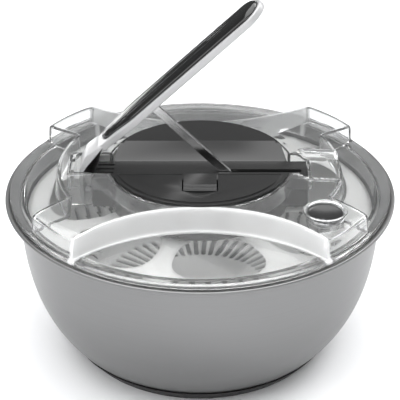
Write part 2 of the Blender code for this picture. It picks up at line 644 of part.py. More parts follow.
def make_lever():
    swing = bpy.data.objects.new("lever_axis", None)
    bpy.context.scene.collection.objects.link(swing)
    swing.location = (HINGE_X, 0.0, RIM + HINGE_RISE)
    swing.rotation_euler = (0.0, -LEVER_ANGLE, 0.0)
    low, high = LEVER_OFFSET, LEVER_OFFSET + LEVER_THICKNESS
    plan = lever_plan(LEVER_HALF_WIDTH, 0.028, LEVER_LENGTH, 0.0105, 0.020)
    window = lever_plan(WINDOW_HALF_WIDTH, WINDOW_START, LEVER_LENGTH - 0.0055, 0.003, 0.014)
    frame = plate("lever_frame", [plan, window], low, high, "satin_grey")
    bm = bmesh.new()
    add_plate(bm, [lever_foot_outline()], -FOOT_HALF_WIDTH, FOOT_HALF_WIDTH, upright())
    combine(frame, finish(bm, "lever_foot_guide", None), "UNION")
    combine(frame, pin_along_y("lever_hole_cutter", HINGE_PIN_RADIUS + RUNNING_GAP, 0.02, None, 12))
    gap = TOUCH_GAP
    inset = lever_plan(WINDOW_HALF_WIDTH - gap, WINDOW_START + gap, LEVER_LENGTH - 0.0055 - gap, 0.0026, 0.014)
    grip = plate("lever_grip", [inset], high - 0.0018, high + 0.0005, "black_plastic")
    for piece in (frame, grip, bpy.data.objects["lever_foot_guide"], bpy.data.objects["lever_hole_cutter"]):
        piece.parent = swing
    pin = pin_along_y("hinge_pin", HINGE_PIN_RADIUS, CRADLE_HALF_WIDTH + CRADLE_WALL, "pin_steel", 16)
    pin.location = swing.location
    return swing


def link_pivot():
    """Upper pivot of the link with the lever raised, as (x, z)."""
    c, s = cos(LEVER_ANGLE), sin(LEVER_ANGLE)
    return (HINGE_X + LINK_PIVOT_ALONG * c - LINK_PIVOT_OFFSET * s,
            RIM + HINGE_RISE + LINK_PIVOT_ALONG * s + LINK_PIVOT_OFFSET * c)


def make_link():
    x, z = link_pivot()
    drop = z - (RIM + RACK_PIVOT_RISE)
    along = RACK_PIVOT_X - x
    length = hypot(along, drop)
    half = LINK_HALF_WIDTH
    outline = arc(0, 0, half, pi / 2, 3 * pi / 2, 8) + arc(length, 0, half, -pi / 2, pi / 2, 8)
    eye = LINK_PIN_RADIUS + RUNNING_GAP
    link = plate("link_bar", [outline, circle(eye, 10), circle(eye, 10, length, 0)],
                 -LINK_HALF_THICKNESS, LINK_HALF_THICKNESS, "pin_steel", upright())
    link.location = (x, 0.0, z)
    link.rotation_euler = (0.0, atan2(drop, along), 0.0)
    upper = pin_along_y("link_pin_upper", LINK_PIN_RADIUS, WINDOW_HALF_WIDTH - TOUCH_GAP, "pin_steel")
    upper.location = (x, 0.0, z)
    lower = pin_along_y("link_pin_lower", LINK_PIN_RADIUS, RACK_HALF_WIDTH + 0.0008, "pin_steel")
    lower.location = (RACK_PIVOT_X, 0.0, RIM + RACK_PIVOT_RISE)


# ---- gears ---------------------------------------------------------------------------
def gear_outline(teeth, turn=0.0):
    """Straight-sided teeth, slim enough to run freely at the pitch distance."""
    pitch = 2 * pi / teeth
    radius = 0.5 * GEAR_MODULE * teeth
    root, tip = radius - 1.05 * GEAR_MODULE, radius + 0.8 * GEAR_MODULE
    points = []
    for i in range(teeth):
        a = turn + i * pitch
        for r, share in ((root, -0.25), (tip, -0.10), (tip, 0.10), (root, 0.25)):
            points.append((r * cos(a + share * pitch), r * sin(a + share * pitch)))
    return points


def pitch_radius(teeth):
    return 0.5 * GEAR_MODULE * teeth


def pinion_centre():
    """The rack pinion stands one tooth clear of the rack, which the link can't keep in step."""
    reach = pitch_radius(RACK_PINION_TEETH) + 0.8 * GEAR_MODULE
    return (PINION_X, -(RACK_HALF_WIDTH + RACK_TOOTH_HEIGHT + reach + RUNNING_GAP))


def idler_centre():
    """Third corner of the triangle between the drive pinion's shaft and the output shaft."""
    px, py = pinion_centre()
    to_output = pitch_radius(IDLER_TEETH) + pitch_radius(OUTPUT_TEETH)
    to_drive = pitch_radius(DRIVE_TEETH) + pitch_radius(IDLER_PINION_TEETH)
    span = hypot(px, py)
    base = atan2(py, px)
    opening = np.arccos((to_output ** 2 + span ** 2 - to_drive ** 2) / (2 * to_output * span))
    angle = base + IDLER_SIDE * opening
    return (to_output * cos(angle), to_output * sin(angle))


def meshing_turn(teeth, toward, gap):
    """Turn a gear so that a tooth, or a gap, points along the given direction."""
    pitch = 2 * pi / teeth
    return toward + (0.5 * pitch if gap else 0.0)


def make_gears():
    px, py = pinion_centre()
    ix, iy = idler_centre()
    to_idler = atan2(iy - py, ix - px)
    to_output = atan2(-iy, -ix)
    clutch_r = SHAFT_RADIUS + 0.0040
    drive = plate("drive_gear", [gear_outline(DRIVE_TEETH, meshing_turn(DRIVE_TEETH, to_idler, False)),
                                 circle(clutch_r + TOUCH_GAP)], *DRIVE_LEVEL, "nylon")
    drive.location = (px, py, 0)
    cylinder("clutch_sleeve", clutch_r, DRIVE_LEVEL[0], DRIVE_LEVEL[1], "pin_steel", 16,
             px, py, SHAFT_RADIUS + TOUCH_GAP)
    pinion = plate("rack_pinion", [gear_outline(RACK_PINION_TEETH, 0.1), circle(SHAFT_RADIUS + TOUCH_GAP, 12)],
                   *RACK_LEVEL, "nylon")
    pinion.location = (px, py, 0)
    cylinder("pinion_shaft", SHAFT_RADIUS, BASE_TOP_Z + TOUCH_GAP, RACK_LEVEL[1] + 0.002, "pin_steel", 12, px, py)
    small_turn = meshing_turn(IDLER_PINION_TEETH, to_idler + pi, True)
    large_turn = meshing_turn(IDLER_TEETH, to_output, False)
    idler = plate("idler_gear", [gear_outline(IDLER_TEETH, large_turn), circle(SHAFT_RADIUS + RUNNING_GAP, 12)],
                  *OUTPUT_LEVEL, "nylon")
    small = plate("idler_pinion_guide", [gear_outline(IDLER_PINION_TEETH, small_turn),
                                         circle(SHAFT_RADIUS + RUNNING_GAP, 12)],
                  OUTPUT_LEVEL[1] - 0.0004, DRIVE_LEVEL[1], None)
    idler.location = small.location = (ix, iy, 0)
    combine(idler, small, "UNION")
    cylinder("idler_shaft", SHAFT_RADIUS, BASE_TOP_Z + TOUCH_GAP, DRIVE_LEVEL[1] + 0.001, "pin_steel", 12, ix, iy)
    out_turn = meshing_turn(OUTPUT_TEETH, to_output + pi, True)
    plate("output_pinion", [gear_outline(OUTPUT_TEETH, out_turn),
                            circle(OUTPUT_SHAFT_RADIUS + TOUCH_GAP)], *OUTPUT_LEVEL, "nylon")


def make_output_shaft():
    """Round in its bearing, hexagonal where it enters the inner cover's hub."""
    hex_low = COVER_TOP - COVER_THICKNESS - 0.0025 - 0.0025
    shaft = cylinder("output_shaft", OUTPUT_SHAFT_RADIUS, BASE_Z - 0.0006, OUTPUT_LEVEL[1] + 0.0003, "pin_steel")
    drive = plate("drive_end_guide", [circle(DRIVE_ACROSS - 0.0006, 6)], hex_low, BASE_Z - 0.0004, None)
    combine(shaft, drive, "UNION")
    cylinder("output_bearing", BEARING_RADIUS, BASE_Z + 0.0001, BASE_TOP_Z, "pin_steel", 20,
             bore=OUTPUT_SHAFT_RADIUS + TOUCH_GAP)


def rack_outline():
    """Bar with straight-sided teeth along its front edge, drawn from the pivot."""
    pitch = pi * GEAR_MODULE
    teeth = int(RACK_LENGTH / pitch) - 1
    front = -RACK_HALF_WIDTH
    points = [(0.003, RACK_HALF_WIDTH), (-RACK_LENGTH, RACK_HALF_WIDTH), (-RACK_LENGTH, front)]
    for i in range(teeth):
        x = -RACK_LENGTH + (i + 0.6) * pitch
        for along, rise in ((0.0, 0.0), (0.15, 1.0), (0.35, 1.0), (0.5, 0.0)):
            points.append((x + along * pitch, front - rise * RACK_TOOTH_HEIGHT))
    return points + [(0.003, front)]


def make_rack():
    z = RIM + RACK_PIVOT_RISE
    rack = plate("rack", [rack_outline()], RACK_LEVEL[0] + 0.0002, RACK_LEVEL[1] - 0.0002, "nylon")
    rack.location = (RACK_PIVOT_X, 0.0, 0.0)
    bm = bmesh.new()
    inner, outer = LINK_HALF_THICKNESS + RUNNING_GAP, RACK_HALF_WIDTH
    for low, high in ((inner, outer), (-outer, -inner)):
        add_plate(bm, [rectangle(-0.0028, 0.0028, low, high)], RACK_LEVEL[1] - 0.001, z + 0.0026)
    cheeks = finish(bm, "rack_cheek_guide", None)
    cheeks.location = rack.location
    combine(rack, cheeks, "UNION")
    eye = pin_along_y("rack_eye_cutter", LINK_PIN_RADIUS + TOUCH_GAP, 0.006, None, 10)
    eye.location = (RACK_PIVOT_X, 0.0, z)
    combine(rack, eye)
    left = RACK_PIVOT_X - RACK_LENGTH
    plate("rack_guide", [rectangle(left, EAR_REACH - HOUSING_WALL - 0.0015, RACK_HALF_WIDTH + 0.001,
                                   RACK_HALF_WIDTH + 0.0028)], RACK_LEVEL[0], RACK_LEVEL[1] + 0.001, "nylon")


def add_coil(bm, radius, wire, turns, length, steps=8, sides=4):
    """Helical wire of round section along +X, closed at both ends."""
    total = turns * steps
    rings = []
    for i in range(total + 1):
        t = 2 * pi * i / steps
        centre = Vector((length * i / total, radius * cos(t), radius * sin(t)))
        out = Vector((0, cos(t), sin(t)))
        rings.append([bm.verts.new(centre + wire * (cos(2 * pi * k / sides) * out
                                                    + sin(2 * pi * k / sides) * Vector((1, 0, 0))))
                      for k in range(sides)])
    for a, b in zip(rings, rings[1:]):
        for k in range(sides):
            m = (k + 1) % sides
            bm.faces.new((a[k], a[m], b[m], b[k]))
    bm.faces.new(rings[0])
    bm.faces.new(rings[-1])


def make_springs():
    bm = bmesh.new()
    left = RACK_PIVOT_X - RACK_LENGTH
    add_coil(bm, 0.0022, 0.0004, 7, 0.016)
    spring = finish(bm, "return_spring", "pin_steel")
    spring.location = (left - 0.0168, 0.0, 0.5 * (RACK_LEVEL[0] + RACK_LEVEL[1]))
    bm = bmesh.new()
    low = RIM + SHELF_RISE + 0.0005
    add_coil(bm, PLUNGER_RADIUS + 0.0012, 0.0005, 5, 0.0085)
    brake = finish(bm, "brake_spring", "pin_steel")
    brake.location = (BRAKE_X, BRAKE_Y, low)
    brake.rotation_euler = (0.0, -pi / 2, 0.0)


# ---- brake and catch -----------------------------------------------------------------
def make_brake():
    surface = platform_height(hypot(BRAKE_X, BRAKE_Y))
    cap_top = RIM + BRAKE_CAP_RISE
    collar_in = BRAKE_CAP_RADIUS + RUNNING_GAP
    neck = BRAKE_COLLAR_RADIUS - 0.0018 - TOUCH_GAP
    flange = surface + 0.0012
    profile = [(collar_in, surface - 0.008), (neck, surface - 0.008), (neck, flange),
               (BRAKE_COLLAR_RADIUS, flange), (BRAKE_COLLAR_RADIUS - 0.0006, flange + 0.0012),
               (collar_in, flange + 0.0012)]
    collar = turned("brake_collar", profile, "clear_plastic", 28)
    collar.location = (BRAKE_X, BRAKE_Y, 0)
    cap_low = surface - 0.0045
    profile = [(PLUNGER_RADIUS + TOUCH_GAP, cap_low), (BRAKE_CAP_RADIUS, cap_low),
               (BRAKE_CAP_RADIUS, cap_top - 0.0008), (BRAKE_CAP_RADIUS - 0.0009, cap_top)]
    full = [(0.0, cap_top - 0.0004)] + profile[::-1] + [(PLUNGER_RADIUS + TOUCH_GAP, cap_top - 0.003),
                                                       (0.0, cap_top - 0.003)]
    cap = turned_on_axis("brake_cap", full, "black_plastic", 28)
    cap.location = (BRAKE_X, BRAKE_Y, 0)
    pad_low = COVER_TOP + BRAKE_TRAVEL + TOUCH_GAP
    foot_low = pad_low + PAD_THICKNESS + TOUCH_GAP
    cylinder("brake_plunger", PLUNGER_RADIUS, foot_low, cap_top - 0.003 - TOUCH_GAP, "frosted_plastic", 16,
             BRAKE_X, BRAKE_Y)
    plunger = bpy.data.objects["brake_plunger"]
    foot = cylinder("brake_foot_guide", 0.0062, foot_low, foot_low + 0.002, None, 16, BRAKE_X, BRAKE_Y)
    combine(plunger, foot, "UNION")
    cylinder("brake_pad", 0.006, pad_low, pad_low + PAD_THICKNESS, "black_rubber", 16, BRAKE_X, BRAKE_Y)


def make_catch():
    """Sliding catch of the gear unit, in its window in the front panel."""
    back = TROUGH_FRONT
    front = back - CATCH_LENGTH
    top = HOUSING_TOP - 0.0001
    half = CATCH_HALF_WIDTH
    low = top - CATCH_THICKNESS + TOUCH_GAP
    body = [(front, low + 0.0008), (back, low + 0.0008), (back, top), (front + 0.006, top),
            (front + 0.0045, top - 0.0008), (front + 0.0015, top - 0.0008), (front, top)]
    place = Matrix(((0, 0, 1, 0), (1, 0, 0, 0), (0, 1, 0, 0), (0, 0, 0, 1)))
    return plate("cover_catch", [body], -half, half, "black_plastic", place)


def main():
    clear_scene()
    make_bowl()
    make_base_pad()
    make_basket()
    make_basket_pivot()
    make_inner_cover()
    make_lid_shell()
    make_housing_top()
    make_housing_base()
    make_screws()
    make_hinge_cradle()
    make_lever()
    make_link()
    make_gears()
    make_output_shaft()
    make_rack()
    make_springs()
    make_brake()
    make_catch()


main()
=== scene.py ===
"""Fine surfaces, finishes and studio of a lever salad spinner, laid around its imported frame.

Metres, +Z up, with the bowl's axis on Z and the lever swinging in the XZ plane. Pieces are worked
out from the frame's own boxes and lie near the solids that they stand for. The lever's grip is wider
than its own solid, and meets the link below it.
"""
from __future__ import annotations

import json
import logging
from dataclasses import dataclass, field
from enum import Enum
from math import atan2, cos, degrees, hypot, pi, radians, sin, sqrt

import bmesh
import bpy
import numpy as np
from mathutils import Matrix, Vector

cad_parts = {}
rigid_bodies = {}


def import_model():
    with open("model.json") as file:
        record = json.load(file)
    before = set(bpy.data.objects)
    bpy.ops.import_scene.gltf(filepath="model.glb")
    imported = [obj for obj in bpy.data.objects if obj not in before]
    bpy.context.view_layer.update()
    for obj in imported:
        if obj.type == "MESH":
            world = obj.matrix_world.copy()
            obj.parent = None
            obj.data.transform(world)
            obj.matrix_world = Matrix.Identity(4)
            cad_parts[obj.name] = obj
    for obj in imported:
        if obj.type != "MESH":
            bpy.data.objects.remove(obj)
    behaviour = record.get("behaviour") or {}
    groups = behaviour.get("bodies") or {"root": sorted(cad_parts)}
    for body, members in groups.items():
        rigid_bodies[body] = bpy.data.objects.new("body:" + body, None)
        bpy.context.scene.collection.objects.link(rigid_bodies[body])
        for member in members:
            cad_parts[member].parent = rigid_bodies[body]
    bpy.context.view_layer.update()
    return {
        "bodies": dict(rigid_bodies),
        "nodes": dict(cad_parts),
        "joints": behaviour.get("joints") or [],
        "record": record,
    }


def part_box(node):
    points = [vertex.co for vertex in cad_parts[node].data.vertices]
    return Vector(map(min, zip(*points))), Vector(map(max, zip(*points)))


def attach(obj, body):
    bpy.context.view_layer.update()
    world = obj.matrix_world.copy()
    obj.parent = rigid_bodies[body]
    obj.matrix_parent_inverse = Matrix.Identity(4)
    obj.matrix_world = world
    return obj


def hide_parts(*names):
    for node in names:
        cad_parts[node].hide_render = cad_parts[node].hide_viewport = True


LOG = logging.getLogger("salad_spinner")
MILLIMETRE = 0.001
WELD = 1e-6

Array = np.ndarray


# ---- frame readings ----------------------------------------------------------------------
def corners_of(node: str) -> tuple[Array, Array]:
    """Lowest and highest corner of a frame node.

    Args:
        node: name of the node.

    Returns:
        Two arrays of three coordinates.
    """
    low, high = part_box(node)
    return np.array(low), np.array(high)


# ---- mesh tools --------------------------------------------------------------------------
class Cut(Enum):
    """What a tool does to a body."""

    TAKE = "DIFFERENCE"
    JOIN = "UNION"


class Plane(Enum):
    """Plane an outline is drawn in; a prism runs along the third axis."""

    XY = (0, 1, 2)
    YZ = (1, 2, 0)
    XZ = (0, 2, 1)


def grid_quads(rows: int, cols: int, wrap_rows: bool = False, wrap_cols: bool = False) -> Array:
    """Corner numbers of every cell of a grid of points that is stored row by row.

    Args:
        rows: number of rows of points.
        cols: number of points in a row.
        wrap_rows: join the last row to the first.
        wrap_cols: join the last column to the first.

    Returns:
        Array of shape (cells, 4).
    """
    i = np.arange(rows if wrap_rows else rows - 1)[:, None]
    j = np.arange(cols if wrap_cols else cols - 1)[None, :]
    below, beside = (i + 1) % rows, (j + 1) % cols
    cells = np.stack([i * cols + j, below * cols + j, below * cols + beside, i * cols + beside], -1)
    return cells.reshape(-1, 4)


def lay(name: str, points: Array, faces: list | Array, sharp: float = 32.0, outward: bool = True,
        weld: float = WELD) -> bpy.types.Object:
    """Put points and faces into a new object, with doubles merged and faces turned outwards.

    Args:
        name: name of the object.
        points: array of shape (n, 3).
        faces: corner numbers of each face.
        sharp: angle in degrees from which an edge stays crisp.
        outward: turn the faces outwards; False keeps the order given, for an open sheet.
        weld: distance under which points are one.

    Returns:
        The object.
    """
    mesh = bpy.data.meshes.new(name)
    listed = faces.tolist() if isinstance(faces, np.ndarray) else faces
    mesh.from_pydata(np.asarray(points, float).reshape(-1, 3).tolist(), [], listed)
    bm = bmesh.new()
    bm.from_mesh(mesh)
    bmesh.ops.remove_doubles(bm, verts=bm.verts, dist=weld)
    if outward:
        bmesh.ops.recalc_face_normals(bm, faces=bm.faces)
    bm.to_mesh(mesh)
    bm.free()
    mesh.shade_smooth()
    mesh.set_sharp_from_angle(angle=radians(sharp))
    piece = bpy.data.objects.new(name, mesh)
    bpy.context.scene.collection.objects.link(piece)
    return piece


def rounded(outline: Array, reach: float | Array, steps: int = 5) -> Array:
    """Round every corner of closed outlines.

    Each corner gives way to a quadratic curve, (1-s)^2 start + 2s(1-s) corner + s^2 end, whose ends
    lie `reach` before and after the corner, or just short of the middle of a side that is shorter.

    Args:
        outline: points of shape (..., k, 2).
        reach: one length for all corners, or one for each.
        steps: points on each curve.

    Returns:
        Points of shape (..., k * steps, 2).
    """
    outline = np.asarray(outline, float)
    back = np.roll(outline, 1, axis=-2) - outline
    ahead = np.roll(outline, -1, axis=-2) - outline
    wanted = np.broadcast_to(np.asarray(reach, float), outline.shape[:-1])[..., None]
    back_run = np.maximum(np.linalg.norm(back, axis=-1, keepdims=True), 1e-9)
    ahead_run = np.maximum(np.linalg.norm(ahead, axis=-1, keepdims=True), 1e-9)
    start = outline + back * np.minimum(wanted / back_run, 0.49)
    end = outline + ahead * np.minimum(wanted / ahead_run, 0.49)
    s = np.linspace(0.0, 1.0, steps)[:, None]
    curve = ((1 - s) ** 2 * start[..., None, :] + 2 * s * (1 - s) * outline[..., None, :]
             + s ** 2 * end[..., None, :])
    return curve.reshape(*outline.shape[:-2], -1, 2)


def spun(name: str, profile: Array, steps: int = 160, x: float = 0.0, y: float = 0.0,
         sharp: float = 32.0) -> bpy.types.Object:
    """Turn a closed (r, z) profile round an upright axis: (r cos a, r sin a, z) for a full turn of a.

    Args:
        name: name of the object.
        profile: closed outline of shape (k, 2); points on the axis close into a pole.
        steps: angles in a full turn.
        x: axis position along X.
        y: axis position along Y.
        sharp: angle in degrees from which an edge stays crisp.

    Returns:
        The object.
    """
    angle = np.linspace(0.0, 2 * pi, steps, endpoint=False)[:, None]
    radius, height = profile[None, :, 0], profile[None, :, 1]
    points = np.stack([x + radius * np.cos(angle), y + radius * np.sin(angle),
                       height + 0.0 * angle], -1)
    return lay(name, points, grid_quads(steps, len(profile), True, True), sharp)


def prism(name: str, outline: Array, low: float, high: float, plane: Plane = Plane.XY,
          sharp: float = 32.0) -> bpy.types.Object:
    """Straight bar of one outline between two levels, with flat ends.

    Args:
        name: name of the object.
        outline: closed outline of shape (k, 2) in the plane's own two axes.
        low: start along the third axis.
        high: end along the third axis.
        plane: plane of the outline.
        sharp: angle in degrees from which an edge stays crisp.

    Returns:
        The object.
    """
    count = len(outline)
    points = np.zeros((2, count, 3))
    first, second, along = plane.value
    points[..., first], points[..., second] = outline[:, 0], outline[:, 1]
    points[0, :, along], points[1, :, along] = low, high
    ends = [list(range(count)), list(range(count, 2 * count))]
    faces = grid_quads(2, count, False, True).tolist() + ends
    return lay(name, points.reshape(-1, 3), faces, sharp)


def carve(body: bpy.types.Object, tool: bpy.types.Object, how: Cut = Cut.TAKE) -> None:
    """Cut a tool out of a body, or weld it on, and remove the tool.

    Args:
        body: object that changes.
        tool: closed object that is used up.
        how: take away or join.
    """
    change = body.modifiers.new("cut", "BOOLEAN")
    change.operation = how.value
    change.object = tool
    change.solver = "EXACT"
    settled = bpy.data.meshes.new_from_object(body.evaluated_get(bpy.context.evaluated_depsgraph_get()))
    body.modifiers.clear()
    body.data = settled
    bpy.data.objects.remove(tool)


def ease_edges(piece: bpy.types.Object, width: float, segments: int = 2, sharp: float = 34.0) -> None:
    """Break the crisp edges of a moulded or machined piece.

    Args:
        piece: object to finish.
        width: width of the broken edge.
        segments: facets across it.
        sharp: angle in degrees from which an edge is broken.
    """
    mesh = piece.data
    mesh.shade_smooth()
    mesh.set_sharp_from_angle(angle=radians(sharp))
    edge = piece.modifiers.new("eased_edges", "BEVEL")
    edge.width = width
    edge.segments = segments
    edge.limit_method = "ANGLE"
    edge.angle_limit = radians(sharp)
    edge.harden_normals = True
    edge.use_clamp_overlap = True


def merged(name: str, parts: list[bpy.types.Object]) -> bpy.types.Object:
    """Gather separate closed bodies into one object.

    Args:
        name: name of the result.
        parts: objects that are used up.

    Returns:
        The object.
    """
    bm = bmesh.new()
    for part in parts:
        bm.from_mesh(part.data)
    mesh = bpy.data.meshes.new(name)
    bm.to_mesh(mesh)
    bm.free()
    mesh.shade_smooth()
    mesh.set_sharp_from_angle(angle=radians(32.0))
    for part in parts:
        bpy.data.objects.remove(part)
    piece = bpy.data.objects.new(name, mesh)
    bpy.context.scene.collection.objects.link(piece)
    return piece


def eased_copy(name: str, node: str, width: float) -> bpy.types.Object:
    """Copy a frame node with its doubles merged and its crisp edges broken.

    Args:
        name: name of the copy.
        node: frame node to copy.
        width: width of the broken edges.

    Returns:
        The object.
    """
    bm = bmesh.new()
    bm.from_mesh(bpy.data.objects[node].data)
    bmesh.ops.remove_doubles(bm, verts=bm.verts, dist=2e-6)
    bmesh.ops.dissolve_limit(bm, angle_limit=radians(1.0), verts=bm.verts, edges=bm.edges)
    mesh = bpy.data.meshes.new(name)
    bm.to_mesh(mesh)
    bm.free()
    piece = bpy.data.objects.new(name, mesh)
    bpy.context.scene.collection.objects.link(piece)
    ease_edges(piece, width)
    return piece


def disc_outline(radius: float, steps: int = 96, x: float = 0.0, y: float = 0.0) -> Array:
    """Circle as (x + r cos a, y + r sin a)."""
    angle = np.linspace(0.0, 2 * pi, steps, endpoint=False)
    return np.stack([x + radius * np.cos(angle), y + radius * np.sin(angle)], -1)


def box_outline(x0: float, x1: float, y0: float, y1: float) -> Array:
    """Rectangle, anticlockwise."""
    return np.array([(x0, y0), (x1, y0), (x1, y1), (x0, y1)], float)


def slot_outline(x0: float, x1: float, y: float, half: float, steps: int = 9) -> Array:
    """Slot along X with half-round ends."""
    turn = np.linspace(-pi / 2, pi / 2, steps)
    right = np.stack([x1 - half + half * np.cos(turn), y + half * np.sin(turn)], -1)
    left = np.stack([x0 + half - half * np.cos(turn), y - half * np.sin(turn)], -1)
    return np.concatenate([right, left])


def smoothstep(value: Array) -> Array:
    """3t^2 - 2t^3 with t held between 0 and 1."""
    t = np.clip(value, 0.0, 1.0)
    return t * t * (3.0 - 2.0 * t)


# ---- finishes ----------------------------------------------------------------------------
@dataclass(frozen=True)
class Grain:
    """Fine pattern of a surface, in object coordinates.

    The pattern is noise whose scale differs by axis, so a long grain is a low scale along it.
    """

    scale: tuple[float, float, float] = (400.0, 400.0, 400.0)
    detail: float = 4.0
    tone: float = 0.04
    gloss: float = 0.05
    relief: float = 0.0


@dataclass(frozen=True)
class Finish:
    """One surface finish, with a fine grain and a broad, faint unevenness."""

    name: str
    colour: tuple[float, float, float]
    roughness: float
    metallic: float = 0.0
    grain: Grain = field(default_factory=Grain)
    bloom: float = 14.0
    bloom_tone: float = 0.03
    bloom_gloss: float = 0.05
    transmission: float = 0.0
    ior: float = 1.49
    coat: float = 0.0
    coat_roughness: float = 0.05
    anisotropic: float = 0.0
    subsurface: float = 0.0

    def material(self) -> bpy.types.Material:
        """Build the node tree once and hand out the same material afterwards.

        Returns:
            The material.
        """
        made = bpy.data.materials.get(self.name)
        if made is not None:
            return made
        made = bpy.data.materials.new(self.name)
        made.use_nodes = True
        tree = made.node_tree
        shader = tree.nodes["Principled BSDF"]
        values = {"Metallic": self.metallic, "IOR": self.ior, "Transmission Weight": self.transmission,
                  "Coat Weight": self.coat, "Coat Roughness": self.coat_roughness,
                  "Anisotropic": self.anisotropic, "Subsurface Weight": self.subsurface}
        for socket, value in values.items():
            shader.inputs[socket].default_value = value
        if self.subsurface:
            shader.inputs["Subsurface Radius"].default_value = (0.004, 0.004, 0.004)
        place = tree.nodes.new("ShaderNodeTexCoord").outputs["Object"]
        fine = self._noise(tree, place, self.grain.scale, self.grain.detail)
        broad = self._noise(tree, place, (self.bloom,) * 3, 3.0)
        tone = self._sum(tree, fine, self.grain.tone, broad, self.bloom_tone, 1.0)
        tint = tree.nodes.new("ShaderNodeVectorMath")
        tint.operation = "SCALE"
        tint.inputs[0].default_value = self.colour
        tree.links.new(tone, tint.inputs["Scale"])
        tree.links.new(tint.outputs[0], shader.inputs["Base Color"])
        gloss = self._sum(tree, fine, self.grain.gloss, broad, self.bloom_gloss, self.roughness)
        tree.links.new(gloss, shader.inputs["Roughness"])
        self.refine(tree, shader)
        if self.grain.relief:
            bump = tree.nodes.new("ShaderNodeBump")
            bump.inputs["Strength"].default_value = 1.0
            bump.inputs["Distance"].default_value = self.grain.relief
            tree.links.new(fine, bump.inputs["Height"])
            tree.links.new(bump.outputs[0], shader.inputs["Normal"])
        if self.anisotropic:
            around = tree.nodes.new("ShaderNodeTangent")
            around.direction_type = "RADIAL"
            around.axis = "Z"
            tree.links.new(around.outputs[0], shader.inputs["Tangent"])
        return made

    def refine(self, tree: bpy.types.NodeTree, shader: bpy.types.Node) -> None:
        """Leave room for what a special finish adds to the shared tree."""

    @staticmethod
    def _noise(tree: bpy.types.NodeTree, place: bpy.types.NodeSocket, scale: tuple[float, ...],
               detail: float) -> bpy.types.NodeSocket:
        """Noise from 0 to 1 over stretched object coordinates.

        Args:
            tree: tree to add to.
            place: coordinate socket.
            scale: scale along each axis.
            detail: octaves of the noise.

        Returns:
            The noise's value socket.
        """
        stretch = tree.nodes.new("ShaderNodeMapping")
        stretch.inputs["Scale"].default_value = scale
        noise = tree.nodes.new("ShaderNodeTexNoise")
        noise.inputs["Scale"].default_value = 1.0
        noise.inputs["Detail"].default_value = detail
        tree.links.new(place, stretch.inputs["Vector"])
        tree.links.new(stretch.outputs[0], noise.inputs["Vector"])
        return noise.outputs[0]

    @staticmethod
    def _sum(tree: bpy.types.NodeTree, fine: bpy.types.NodeSocket, fine_share: float,
             broad: bpy.types.NodeSocket, broad_share: float, middle: float) -> bpy.types.NodeSocket:
        """middle + fine_share * (2 fine - 1) + broad_share * (2 broad - 1), as two multiply-add nodes.

        Args:
            tree: tree to add to.
            fine: first noise.
            fine_share: its weight.
            broad: second noise.
            broad_share: its weight.
            middle: value where both noises are at a half.

        Returns:
            The result's socket.
        """
        first = tree.nodes.new("ShaderNodeMath")
        first.operation = "MULTIPLY_ADD"
        first.inputs[1].default_value = 2.0 * fine_share
        first.inputs[2].default_value = middle - fine_share - broad_share
        second = tree.nodes.new("ShaderNodeMath")
        second.operation = "MULTIPLY_ADD"
        second.use_clamp = False
        second.inputs[1].default_value = 2.0 * broad_share
        tree.links.new(fine, first.inputs[0])
        tree.links.new(broad, second.inputs[0])
        tree.links.new(first.outputs[0], second.inputs[2])
        return second.outputs[0]


@dataclass(frozen=True)
class ArchedClear(Finish):
    """Clear plastic whose transmission drops where a wall follows one of two arcs: a painted glow standing in
    for the light that these walls carry down from above.

    The arcs' centres lie on the Y axis, one on each side of the origin.
    """

    arc_centre: float = 0.1721
    arc_radius: float = 0.1094
    arc_band: tuple[float, float] = (0.0011, 0.0026)
    # lower transmission along the arc walls: a painted glow for the light that they carry from above
    arc_glow_transmission: float = 0.42

    def refine(self, tree: bpy.types.NodeTree, shader: bpy.types.Node) -> None:
        """Link the transmission to the distance from the nearer arc, which paints a glow onto the arc walls
        in place of the light that they carry from above.

        With d = |hypot(x, |y| - centre) - radius|, it runs from the arc's own value to the full one
        across the band.

        Args:
            tree: tree to add to.
            shader: surface shader.
        """
        vector = tree.nodes.new("ShaderNodeTexCoord").outputs["Object"]
        steps = (("ABSOLUTE", None), ("SUBTRACT", (0.0, self.arc_centre, 0.0)), ("MULTIPLY", (1.0, 1.0, 0.0)),
                 ("LENGTH", None))
        for operation, operand in steps:
            node = tree.nodes.new("ShaderNodeVectorMath")
            node.operation = operation
            tree.links.new(vector, node.inputs[0])
            if operand is not None:
                node.inputs[1].default_value = operand
            vector = node.outputs["Value"] if operation == "LENGTH" else node.outputs["Vector"]
        away = tree.nodes.new("ShaderNodeMath")
        away.operation = "SUBTRACT"
        away.inputs[1].default_value = self.arc_radius
        size = tree.nodes.new("ShaderNodeMath")
        size.operation = "ABSOLUTE"
        spread = tree.nodes.new("ShaderNodeMapRange")
        ends = (*self.arc_band, self.arc_glow_transmission, self.transmission)
        for socket, value in zip(spread.inputs[1:5], ends):
            socket.default_value = value
        tree.links.new(vector, away.inputs[0])
        tree.links.new(away.outputs[0], size.inputs[0])
        tree.links.new(size.outputs[0], spread.inputs[0])
        tree.links.new(spread.outputs[0], shader.inputs["Transmission Weight"])


